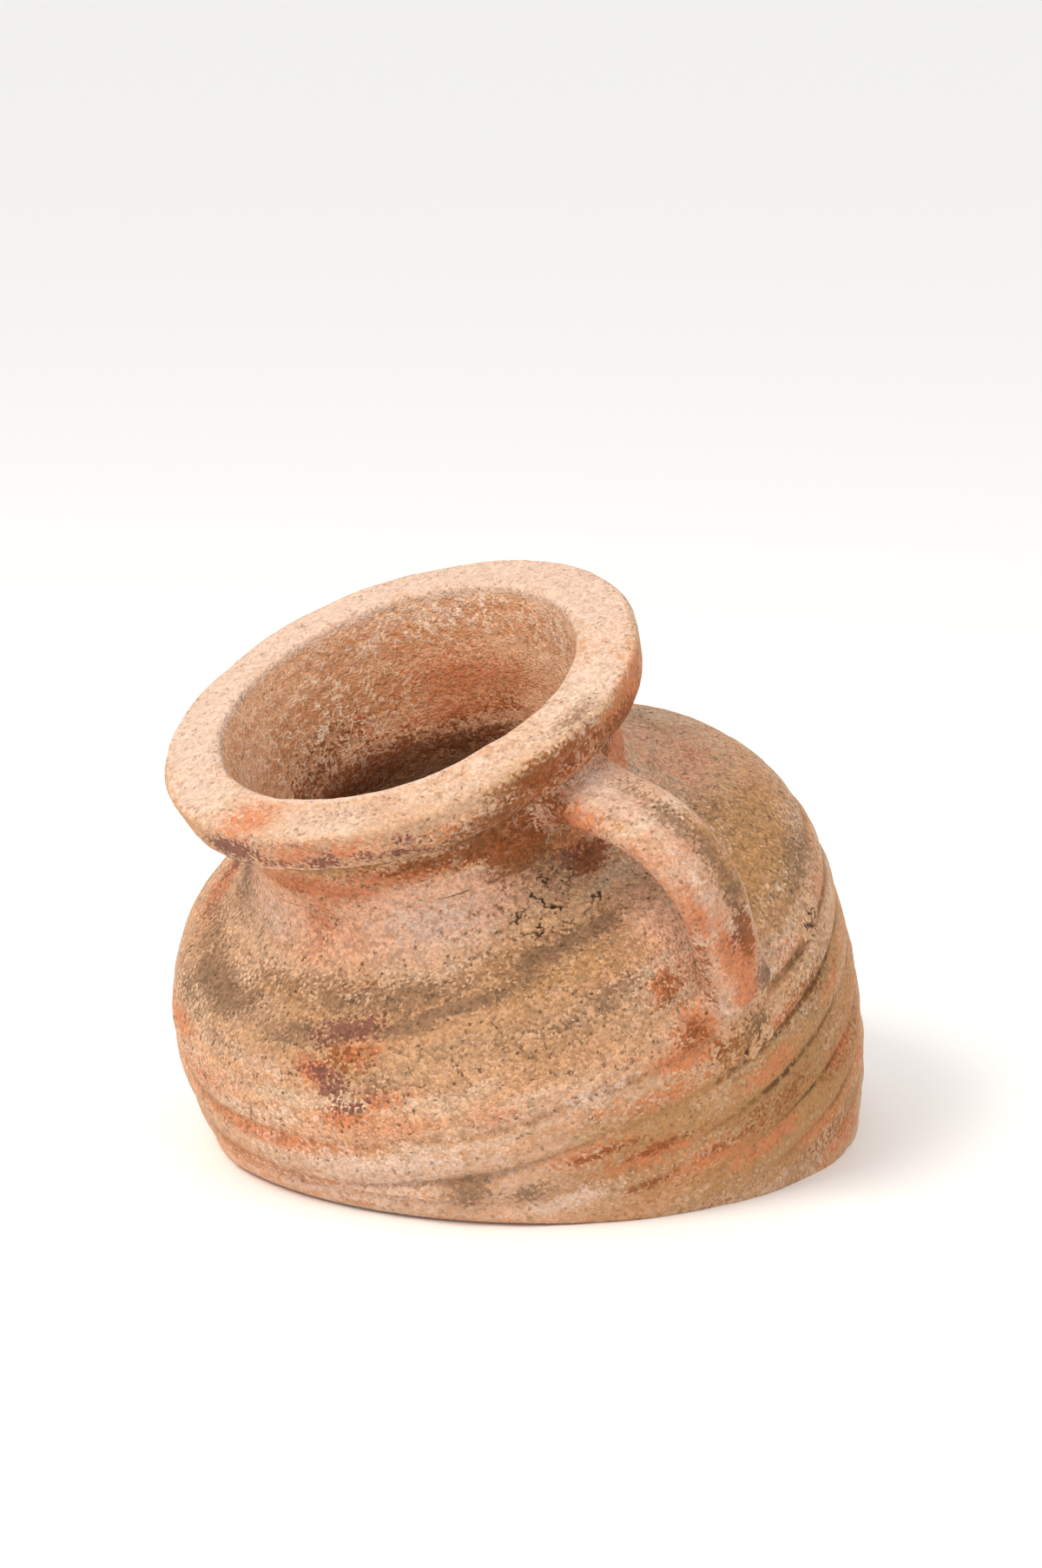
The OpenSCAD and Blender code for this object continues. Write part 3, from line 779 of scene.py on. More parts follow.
def throw(name, rows):
    """Turns an outline into a wall with the thrown_wall tree and keeps it as a plain mesh."""
    rows = np.vstack(rows)
    rows = rows[np.r_[True, np.hypot(*np.diff(rows[:, :2], axis=0).T) > 1e-3]]
    mesh = bpy.data.meshes.new(name)
    edges = [(i, i + 1) for i in range(len(rows) - 1)]
    mesh.from_pydata([(r * MM, h * MM, 0) for r, h in rows[:, :2]], edges, [])
    faced = np.hypot(rows[:, 2], rows[:, 3]) > 0.5
    outer = faced & (rows[:, 4] >= 0)
    worked = np.where(outer, 1.0, np.where(faced, inside_work, 0.0))
    keep_columns(mesh, {"worked": worked, "ridged": outer, "down": rows[:, 4]})
    facing = np.c_[rows[:, 2:4], np.zeros(len(rows))].astype(np.float32)
    mesh.attributes.new("facing", "FLOAT_VECTOR", "POINT").data.foreach_set("vector", facing.ravel())
    obj = bpy.data.objects.new(name, mesh)
    scene.collection.objects.link(obj)
    thrower = obj.modifiers.new("thrown_wall", "NODES")
    thrower.node_group = wall_tree
    sizes = {"Segments": segments, "Clay": thrown_clay, "Ridge pitch": ridge_pitch * MM,
             "Ridge rise": ridge_rise * MM, "Ridge start": ridge_start * MM, "Ridge top": seam_h * MM,
             "Swell": swell_depth * MM, "Dimple": dimple_depth * MM, "Seed": hand_seed, "Lean": lean,
             "Axis foot": foot_mid * MM}
    for socket in wall_tree.interface.items_tree:
        if socket.name in sizes:
            thrower[socket.identifier] = sizes[socket.name]
    graph = bpy.context.evaluated_depsgraph_get()
    obj.data = bpy.data.meshes.new_from_object(obj.evaluated_get(graph), preserve_all_data_layers=True,
                                               depsgraph=graph)
    obj.modifiers.clear()
    obj.data.name = name
    bpy.data.meshes.remove(mesh)
    settle(name, obj.data)
    return obj


piece = {key: throw(f"clay_{key}", rows) for key, rows in thrown_outlines.items()}

# %% [markdown]
# ## Knocks before firing
# A soft jar set down on its side gives a little where it rests, and an edge gets knocked. The whole
# thickness of the wall moves, so the inside follows the outside. Sculpting would do this by hand, but a
# short list of dents can be read and changed.

# %% Dents
# columns: angle round the jar, height on the axis, half width, half height and depth, in mm
dents = [(-34, 62, 120, 66, 6.5), (-62, 156, 60, 26, -3.5), (70, 150, 60, 30, 1.5),
         (128, 90, 50, 26, 1.5), (-50, 252, 40, 16, 1.2), (15, 262, 26, 12, 1.0),
         (205, 100, 80, 40, 3.0), (250, 40, 90, 40, 2.5), (300, 140, 70, 30, 2.0)]


def upright_places(obj):
    """Every point of a piece with the lean taken out: x and y off the axis and height along it, in mm."""
    xyz = np.empty(len(obj.data.vertices) * 3, np.float32)
    obj.data.vertices.foreach_get("co", xyz)
    x, y, z = xyz.reshape(-1, 3).T.astype(float) / MM
    side = (x - foot_mid) * math.cos(lean) + z * math.sin(lean)
    return side, y, -(x - foot_mid) * math.sin(lean) + z * math.cos(lean)


def leaned(local):
    """Points of the upright jar, in mm, set on the slant and turned to metres."""
    x, y, h = np.moveaxis(np.asarray(local, float), -1, 0)
    return np.stack([foot_mid + x * math.cos(lean) - h * math.sin(lean), y,
                     x * math.sin(lean) + h * math.cos(lean)], -1) * MM


for obj in piece.values():
    x, y, height = upright_places(obj)
    radius, turn = np.hypot(x, y), np.degrees(np.arctan2(-y, -x))
    push = np.zeros(len(x))
    for at_turn, at_height, wide, tall, depth in dents:
        round_by = np.radians((turn - at_turn + 180) % 360 - 180) * radius
        push += depth * np.exp(-((round_by / wide) ** 2) - ((height - at_height) / tall) ** 2)
    pushed = leaned(np.c_[x * (1 - push / radius), y * (1 - push / radius), height])
    obj.data.vertices.foreach_set("co", pushed.astype(np.float32).ravel())
    obj.data.update()
    print(f"{obj.name}: deepest dent {push.max():.1f} mm")

# %% [markdown]
# ## The slanted cut
# The belly was thrown longer than it is needed and then cut off level with the ground, on the slant to
# its own axis. A bisecting plane does the same. The open ring that it leaves is closed by bridging the
# outer loop to the inner one.

# %% Cut the belly level with the slab
def tree_of(obj):
    """Search tree over the faces of a piece, for casting rays at it."""
    work = bmesh.new()
    work.from_mesh(obj.data)
    found = BVHTree.FromBMesh(work)
    work.free()
    return found


uncut_walls = [tree_of(piece["belly"]), tree_of(piece["shoulder"])]
belly_mesh = piece["belly"].data
work = bmesh.new()
work.from_mesh(belly_mesh)
cut = bmesh.ops.bisect_plane(work, geom=work.verts[:] + work.edges[:] + work.faces[:], dist=1e-6,
                             plane_co=(0, 0, base_t * MM), plane_no=(0, 0, 1), clear_inner=True)
rim = [e for e in cut["geom_cut"] if isinstance(e, bmesh.types.BMEdge)]
bmesh.ops.bridge_loops(work, edges=rim)
work.to_mesh(belly_mesh)
work.free()
settle("belly after the cut", belly_mesh)

# %% [markdown]
# ## The slab
# A rolled slab closes the foot. It takes its edge from the wall above it: rays cast at the uncut belly
# say how far out the clay reaches at each height, which a plain ellipse would miss. Its under edge is
# worn round, most of all under the lean, and a drain hole runs through it.

# %% Rings that reach out to the wall
spokes = np.linspace(0, 2 * np.pi, segments, endpoint=False)


def nearest(walls, start, way):
    """Distance in mm from a place in metres to the first wall met on the way."""
    hits = [target.ray_cast(Vector(start), Vector(way)) for target in walls]
    return min(hit[3] for hit in hits if hit[0] is not None) / MM


def reach(turn, z, outward):
    """Distance in mm from the drain hole's axis to the wall, met from inside or from outside."""
    way = Vector((math.cos(turn), math.sin(turn), 0))
    start = Vector((0, 0, z * MM)) + (Vector() if outward else way * 2 * belly_r * MM)
    far = nearest(uncut_walls, start, way if outward else -way)
    return far if outward else 2 * belly_r - far


def ring_mesh(name, sections):
    """Closed ring of clay: for each spoke a closed section of (distance, height) points, in mm."""
    sections = np.array(sections)
    count, rows = sections.shape[:2]
    xyz = np.stack([sections[..., 0] * np.cos(spokes)[:, None], sections[..., 0] * np.sin(spokes)[:, None],
                    sections[..., 1]], -1) * MM
    at = np.arange(count * rows).reshape(count, rows)
    over, along = np.roll(at, -1, 0), np.roll(at, -1, 1)
    quads = np.stack([at, over, np.roll(over, -1, 1), along], -1).reshape(-1, 4)
    mesh = bpy.data.meshes.new(name)
    mesh.from_pydata(xyz.reshape(-1, 3).tolist(), [], quads.tolist())
    obj = bpy.data.objects.new(name, mesh)
    scene.collection.objects.link(obj)
    settle(name, mesh)
    return obj


print(f"at the slab's top the wall is {reach(0, base_t, False):.0f} mm from the drain hole's axis")

# %% Slab under the jar
drain_edge, least_z = 1.5, 0.2
foot_long = math.sqrt(foot_mid**2 + (1 - (belly_h / under_h) ** 2) / foot_oval)
worn_r = foot_long - base_bevel / 2 + ridge_rise / 2
edge_turns = np.radians(np.linspace(0, 90, 9))
edge_heights = np.r_[(base_t - 1) * (1 - np.cos(edge_turns)), base_t]
edge_reach = np.r_[worn_r + base_bevel * np.sin(edge_turns), worn_r + base_bevel]


def slab_section(turn):
    """Bottom face outwards, worn edge up to the wall, top face back in and down through the hole."""
    shift = base_bevel / 2 * math.cos(turn)
    wall_reach = [reach(turn, max(z, least_z), False) for z in edge_heights]
    edge = np.minimum(wall_reach, edge_reach + shift)
    hole = drain_d / 2
    shares = np.linspace(0, 1, 14)[1:-1]
    bottom = [(hole + drain_edge, 0)] + [(hole + (edge[0] - hole) * s, 0) for s in shares]
    top = [(hole + (edge[-1] - hole) * s, base_t) for s in shares[::-1]] + [(hole + drain_edge, base_t)]
    return bottom + list(zip(edge, edge_heights)) + top + [(hole, base_t - drain_edge), (hole, drain_edge)]


piece["slab"] = ring_mesh("clay_slab", [slab_section(t) for t in spokes])

# %% [markdown]
# ## The coil in the inside corner
# Inside, a coil of clay fills the corner between slab and wall, and a finger has smoothed it hollow. The
# corner is not round, because the wall meets the slab on the slant, so rays from inside find the wall and
# each section of the coil is cut to fit.

# %% Coil in the inside corner
base_coil_w, finger_hollow = 14, 1.2
foot_half = math.sqrt(belly_r**2 * (1 - ((belly_h - foot_mid * math.sin(lean)) / under_h) ** 2)
                      - (foot_mid * math.cos(lean)) ** 2)
base_coil_r = foot_half - wall - base_coil_w
coil_heights = np.linspace(0, 3 * base_coil_w, 43)


def corner_section(turn):
    """Slope of the coil from the slab up to the wall, then down the wall and back along the slab."""
    wall_reach = np.array([reach(turn, base_t + z, True) for z in coil_heights])
    top = np.interp(0, base_coil_r + coil_heights - wall_reach, coil_heights)
    slope = np.linspace(0, top, 9)
    hollow = finger_hollow * np.sin(np.pi * slope / top)
    face = np.c_[base_coil_r + slope + hollow, base_t + slope - hollow]
    back_heights = np.linspace(top, 0, 8)[1:]
    back = np.c_[np.interp(back_heights, coil_heights, wall_reach), base_t + back_heights]
    under = np.linspace(back[-1, 0], base_coil_r, 5)[1:-1]
    return np.vstack([face, back, np.c_[under, np.full(len(under), base_t)]])


piece["base_coil"] = ring_mesh("clay_base_coil", [corner_section(t) for t in spokes])

# %% [markdown]
# ## The wall behind the handle
# The strap, the wad at its foot and the crust all lie on the finished wall, ridges and dents included. So
# rays are cast at it once over a small net of places on the handle's side, and the distance of any point
# from the clay is then read from that net, which is far quicker than a ray for each point.

# %% Net of places on the handle's side
facing_walls = [tree_of(piece[k]) for k in ("belly", "shoulder", "coil", "neck", "lip")]
net_step = 3.0


def wall_out(x, height):
    """How far out from the axis the finished wall stands on the handle's side, x mm to one side."""
    start, aim = leaned([x, -2 * belly_r, height]), leaned([x, 0, height])
    return 2 * belly_r - nearest(facing_walls, start, Vector(aim - start).normalized())


net_x, net_h = np.arange(-48, 49, net_step), np.arange(60, 250, net_step)
wall_net = np.array([[wall_out(x, h) for h in net_h] for x in net_x])
slant_x, slant_h = np.gradient(wall_net, net_step)
square_on = 1 / np.sqrt(1 + slant_x**2 + slant_h**2)


def off_wall(x, out, height):
    """Distance of points from the finished wall, read from the net."""
    i = np.clip((x - net_x[0]) / net_step, 0, len(net_x) - 1.001)
    j = np.clip((height - net_h[0]) / net_step, 0, len(net_h) - 1.001)
    i0, j0 = i.astype(int), j.astype(int)
    di, dj = i - i0, j - j0

    def read(table):
        """Value between the four places round each point."""
        return ((table[i0, j0] * (1 - di) + table[i0 + 1, j0] * di) * (1 - dj)
                + (table[i0, j0 + 1] * (1 - di) + table[i0 + 1, j0 + 1] * di) * dj)
    return (out - read(wall_net)) * read(square_on)


print(f"net of {wall_net.size} places, the wall {wall_net.min():.0f} to {wall_net.max():.0f} mm out")

# %% [markdown]
# ## The line of the strap
# A strap is pulled from a lump of wet clay. It leaves the neck under the lip, bends over and runs down to
# the shoulder, where its foot lies on the wall. A straight head, an arc and a straight run make that
# line, and the run is kept from sinking into the wall.

# %% Middle line of the strap
handle_w, handle_t, handle_drop, handle_reach = 34, 17, 16, 6
bend_r, head_slope, handle_fall = 45, math.radians(11), math.radians(9)
foot_end, foot_side, foot_lift = 113, 4, 0.5
strap_step = 1.3
bend_mid = np.array([belly_r + handle_reach - bend_r, lip_low - handle_drop - bend_r])


def strap_line():
    """Middle line of the strap in the plane of the axis, with the angle that its outer face looks to."""
    bend = np.linspace(math.pi / 2 - head_slope, -handle_fall, 80)
    curve = bend_mid + bend_r * np.c_[np.cos(bend), np.sin(bend)]
    head_way = np.array([math.cos(head_slope), -math.sin(head_slope)])
    head = curve[0] - head_way * (curve[0, 0] - neck_r + wall / 2)
    way = -np.array([math.sin(handle_fall), math.cos(handle_fall)])
    run = np.arange(1, 120)[:, None] * way + curve[-1]
    run = run[run[:, 1] > foot_end]
    # the foot lies on the finished wall once it has come down to it
    run[:, 0] = np.maximum(run[:, 0], [wall_out(foot_side, h) + foot_lift for h in run[:, 1]])
    line = np.vstack([head, curve, run])
    angle = np.r_[bend[0], bend, np.full(len(run), -handle_fall)]
    along = np.r_[0, np.cumsum(np.hypot(*np.diff(line, axis=0).T))]
    at = np.linspace(0, along[-1], math.ceil(along[-1] / strap_step))
    middle = np.c_[np.interp(at, along, line[:, 0]), np.interp(at, along, line[:, 1])]
    return at, middle, np.interp(at, along, angle)


strap_at, strap_mid, look = strap_line()
print(f"strap is {strap_at[-1]:.0f} mm long, its foot {strap_mid[-1][1]:.0f} mm up the axis")

# %% [markdown]
# ## The section of the strap
# Pulling through a wet hand leaves a flat, squarish oval with a shallow channel down its outer face. It
# swells where it is pressed on: a heel of clay at the head, and a blunt foot with rounded corners. Each
# of these is a share that fades along the strap, so a ring of the sweep is a sum of a few of them.

# %% Rings of the strap
strap_sides = 72
section_turn = np.linspace(0, 2 * np.pi, strap_sides, endpoint=False)
squareness = 2 / 2.7
across_unit = np.sign(np.cos(section_turn)) * np.abs(np.cos(section_turn)) ** squareness
thick_unit = np.sign(np.sin(section_turn)) * np.abs(np.sin(section_turn)) ** squareness

# how far from its ends the strap swells, and by how much, in mm
head_run, foot_run, corner_r = 34, 42, 9
head_flare, head_thick, foot_thin = 2.5, 3.5, 2.0
channel_depth, heel_drop, sway_by, sway_run = 1.4, 9.0, 5, 80
# places across the strap, from -1 to 1
channel_at, channel_half, heel_from = 0.15, 0.5, 0.3
# the pulled width along the strap, against its width in the solids
pulled_at, pulled_share = [0, 60, 110, 150, 190], [1.18, 1.15, 1.08, 1.08, 1.2]
head_share = np.clip(1 - (strap_at - wall / 2) / head_run, 0, 1) ** 2
to_foot = strap_at[-1] - strap_at
foot_share = np.clip(1 - to_foot / foot_run, 0, 1) ** 2
foot_round = np.sqrt(np.clip(1 - np.clip(1 - to_foot / corner_r, 0, 1) ** 2, 0, 1))
pulled_w = np.interp(strap_at, pulled_at, pulled_share) * handle_w / 2
half_w = pulled_w + head_flare * head_share - corner_r * (1 - foot_round)
half_t = handle_t / 2 + head_thick * head_share - foot_thin * foot_share
half_t *= np.maximum(foot_round, 0.02) ** 0.6
sway_head = np.clip(1 - strap_at / sway_run, 0, 1) ** 2
sway_foot = np.clip(strap_at / strap_at[-1] * 2 - 1, 0, 1) ** 1.5
sway = sway_by * (sway_head + sway_foot)

across = half_w[:, None] * across_unit
channel = np.clip(thick_unit, 0, 1) ** 2 * np.exp(-((across_unit - channel_at) / channel_half) ** 2)
heel = np.clip(-thick_unit, 0, 1) * np.clip(heel_from - across_unit, 0, 1)
thick = half_t[:, None] * thick_unit
thick = thick - channel_depth * channel * (half_t / half_t.max())[:, None]
thick = thick - heel_drop * heel * head_share[:, None]
print(f"strap {2 * half_w.max():.0f} mm wide at the most, {2 * half_t.max():.0f} mm thick")

# %% [markdown]
# ## The fillet against the wall
# The joint was wiped with a finger, so each ring opens towards the clay that it meets. How far it opens
# depends on how near it is to the wall, and that changes as it opens, so the answer is found by going
# round a few times and moving part of the way each time.

# %% Sweep the strap
head_end, head_fillet, foot_fillet = 90, 6.0, 4.5
rounds, ease = 24, 0.4
length = np.hypot(across, thick) + 1e-6
across_way, thick_way = across / length, thick / length
at_head = (strap_at < head_end)[:, None]
fillet = np.where(at_head, head_fillet, foot_fillet) * np.ones_like(across)
spread = np.zeros_like(across)
for _ in range(rounds):
    wide = across + spread * across_way + sway[:, None]
    deep = thick + np.where(at_head, spread * thick_way, 0)
    out = strap_mid[:, :1] + deep * np.cos(look)[:, None]
    height = strap_mid[:, 1:] + deep * np.sin(look)[:, None]
    gap = off_wall(wide, out, height)
    near = np.clip(1 - gap / fillet, 0, 1)
    wanted = fillet * (1 - np.sqrt(np.clip(1 - near**2, 0, 1))) * foot_round[:, None]
    # clay that is already inside the wall draws in again, so that no edge of it breaks out
    wanted = np.where(gap < 0, wanted * np.clip(1 + gap / 2, -1, 1), wanted)
    spread = (1 - ease) * spread + ease * wanted

rings = len(strap_at)
at = np.arange(rings * strap_sides).reshape(rings, strap_sides)
skin = np.stack([at[:-1], np.roll(at, -1, 1)[:-1], np.roll(at, -1, 1)[1:], at[1:]], -1).reshape(-1, 4)
ends = [at[0].tolist(), at[-1].tolist()]
handle_mesh = bpy.data.meshes.new("clay_handle")
handle_mesh.from_pydata(leaned(np.stack([wide, -out, height], -1)).reshape(-1, 3).tolist(), [],
                        skin.tolist() + ends)
piece["handle"] = bpy.data.objects.new("clay_handle", handle_mesh)
scene.collection.objects.link(piece["handle"])
settle("clay_handle", handle_mesh)

# %% [markdown]
# ## The wad round the handle's foot
# A potter presses a little soft clay round the foot of a handle so that it can't pull off. It is a low
# mound with a feathered edge. Rays cast at the wall set every point of it on the real surface, ridges
# and all.

# %% Press the wad on
foot_wad_w, foot_wad_rise, wad_sink, wad_depth = 48, 1.6, 0.4, 3
wad_h = strap_mid[-1][1] - foot_wad_w / 8
wad_rings, wad_spokes = 18, 72


def wad_points(top):
    """Rings of the mound, from its middle to its feathered edge, on top or under it."""
    points = []
    for share in np.linspace(0, 1, wad_rings):
        for turn in np.linspace(0, 2 * np.pi, wad_spokes, endpoint=False):
            edge = foot_wad_w / 2 * (1 + 0.08 * math.sin(3 * turn + 1) + 0.05 * math.sin(7 * turn))
            x, height = edge * share * math.cos(turn), wad_h + edge * share * math.sin(turn)
            rise = foot_wad_rise * (1 - share**2) ** 1.5 - wad_sink if top else -wad_depth
            points.append([x, -wall_out(x, height) - rise, height])
    return points


def laid_skin(name, tops, lows, rings, columns):
    """Closed thin skins that lie on the wall, each from a disc of points above and one below, in mm."""
    faces = []
    points = np.concatenate([np.concatenate(pair) for pair in zip(tops, lows)])
    for k, top in enumerate(tops):
        at = np.arange(2 * len(top)).reshape(2, rings, -1) + 2 * k * len(top)
        after = np.roll(at, -1, 2)
        faces += np.stack([at[0, :-1], after[0, :-1], after[0, 1:], at[0, 1:]], -1).reshape(-1, 4).tolist()
        faces += np.stack([at[1, :-1], at[1, 1:], after[1, 1:], after[1, :-1]], -1).reshape(-1, 4).tolist()
        faces += np.stack([at[0, -1], after[0, -1], after[1, -1], at[1, -1]], -1).tolist()
    mesh = bpy.data.meshes.new(name)
    mesh.from_pydata(leaned(points).tolist(), [], faces)
    keep_columns(mesh, columns)
    work = bmesh.new()
    work.from_mesh(mesh)
    bmesh.ops.remove_doubles(work, verts=work.verts, dist=merge_within)
    work.to_mesh(mesh)
    work.free()
    obj = bpy.data.objects.new(name, mesh)
    scene.collection.objects.link(obj)
    settle(name, mesh)
    return obj


piece["foot_wad"] = laid_skin("clay_foot_wad", [wad_points(True)], [wad_points(False)], wad_rings, {})

# %% [markdown]
# ## Crust that lifts off in flakes
# Salts drawn out of the clay leave a crust here and there, which cracks into plates about a centimetre
# wide and drops off. Each patch is a thin skin laid on the wall. Cell points strewn with a fixed seed
# part it into plates, every plate has its own rise, and a point near the border of two cells lies low
# in the crack between them.

# %% Places for the crust
# columns: angle round the jar, distance down from the mouth, half width of the patch
crust_patches = [(72, 125, 26), (91, 245, 12), (115, 227, 15)]
crust_rings, crust_spokes = 44, 170
stand_off = 30
outer_line = np.concatenate([outer_face[k] for k in ("neck", "coil", "shoulder", "belly")])


def on_wall(turn, down):
    """Point of the finished wall at a place on the jar, and the way that the wall faces there."""
    r, h, way_r, way_h = (np.interp(down, outer_line[:, 4], outer_line[:, i]) for i in range(4))
    flat = -np.array([math.cos(math.radians(turn)), math.sin(math.radians(turn))])
    way = np.array([*flat * way_r, way_h])
    start = np.array([*flat * r, h]) + stand_off * way
    aim = Vector(leaned(start - way) - leaned(start)).normalized()
    return start - way * nearest(facing_walls, leaned(start), aim), way


print("patches of crust:", len(crust_patches))


# %% Lay the crust on
# area for each cell, shares of lost plates and open cracks, and heights and half widths in mm
cell_area, lost_share, open_share = 18, 0.3, 0.45
least_rise, most_rise = 0.4, 1.6
lost_rise, crack_rise, crust_sink, crust_depth = -0.7, 0.15, 0.7, 2.5
crack_half, crack_slope = 0.2, 0.5


def crust_patch(at_turn, at_down, size, dice):
    """Points above and below one patch, and for each its distance down, plate and crack."""
    share = np.repeat(np.linspace(0, 1, crust_rings), crust_spokes)
    spoke = np.tile(np.linspace(0, 2 * np.pi, crust_spokes, endpoint=False), crust_rings)
    x, y = size * share * np.cos(spoke), 0.8 * size * share * np.sin(spoke)
    cells = dice.uniform(-size, size, (max(8, int(size**2 / cell_area)), 2))
    lost = dice.random(len(cells)) < lost_share
    lift = np.where(lost, lost_rise, dice.uniform(least_rise, most_rise, len(cells)))
    # cracks wander, so the plane is bent before the cells are looked up
    bent = np.c_[x + 1.2 * np.sin(0.9 * y + 1) + 0.5 * np.sin(2.3 * y),
                 y + 1.2 * np.sin(0.8 * x) + 0.5 * np.sin(2.1 * x)]
    far = np.hypot(*np.moveaxis(bent[:, None] - cells, -1, 0))
    first, second = np.argsort(far, axis=1)[:, :2].T
    border = np.diff(np.sort(far, axis=1)[:, :2], axis=1)[:, 0] / 2
    # only some of the borders between cells have opened
    opened = dice.random((len(cells), len(cells))) < open_share
    cracked = opened[np.minimum(first, second), np.maximum(first, second)]
    firm = np.where(cracked, np.clip((border - crack_half) / crack_slope, 0, 1), 1)
    edge = 1 - share * (1 + 0.18 * np.sin(3 * spoke + at_turn) + 0.1 * np.sin(8 * spoke))
    feather = np.clip(4 * edge, 0, 1)
    plate = lift[first]
    rise = feather * (crack_rise + (plate - crack_rise) * firm) - crust_sink * (1 - feather)
    middle_r = np.interp(at_down, outer_line[:, 4], outer_line[:, 0])
    turns = at_turn + np.degrees(x / middle_r)
    spots = [on_wall(turn, down) for turn, down in zip(turns, at_down + y)]
    spot, way = (np.array(part) for part in zip(*spots))
    # the last column marks the cracks, which the material darkens with painted shade
    columns = np.c_[at_down + y, feather * firm * (plate > 0), feather * (1 - firm) * (plate > 0)]
    return spot + way * rise[:, None], spot - way * crust_depth, columns


crust_dice = np.random.default_rng(5)
patches = [crust_patch(*patch, crust_dice) for patch in crust_patches]
down_flake_crack = np.concatenate([np.concatenate([c, c]) for _, _, c in patches]).T
piece["crust"] = laid_skin("clay_crust", [p[0] for p in patches], [p[1] for p in patches], crust_rings,
                           dict(zip(("down", "flake", "crevice_shade"), down_flake_crack)))

# %% [markdown]
# ## Where the stains lie
# The pot has been smoked, limed, rubbed with earth and worn back to bare clay, and each of these lies
# somewhere in particular. Some dabs are painted light and painted shade instead: shade under the lip, under
# the strap and deep in the mouth, and light as highlights and as a lift of the shade in a few places.
# Every stain is a dab with a place: an angle round the jar from the side that leans, a distance down the
# outside from the mouth, and half sizes in millimetres. The strongest dab at a point gives its number for
# that kind of stain, and the material reads the numbers.

# %% Places on the jar
least_r = 40


def jar_places(obj):
    """Angle round the jar in degrees, distance down it and distance off its axis, for every point."""
    side, y, height = upright_places(obj)
    if "down" in obj.data.attributes:
        down = np.empty(len(side), np.float32)
        obj.data.attributes["down"].data.foreach_get("value", down)
    else:
        down = np.interp(-height, -outer_line[:, 1], outer_line[:, 4])
    return np.degrees(np.arctan2(-y, -side)), down.astype(float), np.hypot(side, y)


def dabbed(places, dabs):
    """Strength of one kind of stain: the strongest of its dabs at each point."""
    turn, down, radius = places
    strength = np.zeros(len(turn))
    for at_turn, at_down, wide, tall, tilt, most in dabs:
        round_by = np.radians((turn - at_turn + 180) % 360 - 180) * np.clip(radius, least_r, None)
        down_by = down - at_down
        c, s = math.cos(math.radians(tilt)), math.sin(math.radians(tilt))
        along, over = (round_by * c + down_by * s) / wide, (down_by * c - round_by * s) / tall
        same_side = (down < 0) == (at_down < 0)
        strength = np.maximum(strength, most * same_side * np.exp(-(along**2 + over**2)))
    return strength


lip_downs = jar_places(piece["lip"])[1]
print(f"the lip reaches {lip_downs.max():.0f} mm down outside and {-lip_downs.min():.0f} mm inside")

# %% [markdown]
# ## Stains, painted light and painted shade of the front
# The dabs follow the stains that the photograph shows, kind by kind. They are given one by one, and the
# patterns of the clay break up their edges.

# %% Pale stains and painted light of the front
# columns: angle, distance down, half width, half height, tilt in degrees, strength
stains = {
    # lime and pale slip on the flat of the lip and the crests of the ridges, and painted light: highlights on
    # the lip's inner edge and on the neck, and a lift of the shade beside the strap and low on the front
    "slip_and_painted_light": [
        # lip; the thin dab on the inner edge at the front is a painted highlight
        (30, 4, 90, 4, 0, 0.75), (-60, 14, 70, 25, 0, 0.95), (62, 17, 56, 25, 0, 0.4),
        (110, 17, 70, 25, 0, 0.6), (160, 17, 90, 25, 0, 0.75), (-25, 20, 44, 20, 0, 0.7),
        (24, 20, 40, 20, 0, 0.45),
        # neck: a painted highlight
        (40, 110, 36, 15, 0, 0.55), (-17, 114, 24, 14, 0, 0.5),
        # shoulder; the small dab beside the strap is painted light over the strap's shadow
        (108, 150, 40, 24, 0, 0.35), (89, 172, 16, 22, 0, 0.2), (0, 186, 40, 7, 0, 0.4),
        (0, 208, 60, 8, 0, 0.4),
        # belly; the dab at 278 mm, low on the front, is painted light that lifts the shade near the ground
        (62, 222, 30, 5, 4, 0.5), (22, 230, 80, 6, 2, 0.6), (22, 246, 100, 40, 0, 0.45),
        (20, 252, 70, 7, 2, 0.55), (50, 272, 40, 7, 4, 0.5), (10, 278, 90, 12, 0, 0.5),
        (110, 286, 30, 7, 4, 0.2), (84, 326, 44, 9, 6, 0.25),
    ],
    # clean pinkish clay, rubbed smooth, and painted light that lifts the shade on the far shoulder and beside
    # the strap
    "blush_and_painted_light": [
        # lip
        (52, 42, 34, 9, 0, 0.2), (24, 44, 50, 9, 0, 0.45), (14, 54, 40, 7, 0, 0.55),
        # neck
        (-14, 106, 40, 16, 0, 0.95), (38, 108, 64, 20, 0, 0.9), (10, 112, 34, 18, 0, 0.7),
        # shoulder; both dabs are painted light that lifts the shade there
        (144, 138, 52, 30, 0, 0.6), (88, 170, 16, 24, 0, 0.7),
        # belly
        (-40, 216, 60, 26, 0, 0.6), (-6, 262, 80, 22, 0, 0.7), (30, 276, 80, 18, 0, 0.6),
    ],
    # tan dust that has settled on the slope of the shoulder
    "dust": [
        # shoulder
        (-30, 160, 70, 30, 0, 0.6), (30, 166, 150, 34, 0, 0.9), (112, 180, 90, 60, 0, 0.45),
        (62, 190, 70, 26, 0, 0.6), (75, 200, 22, 14, 0, 0.5),
    ],
}
print("pale stains of the front:", {kind: len(dabs) for kind, dabs in stains.items()})

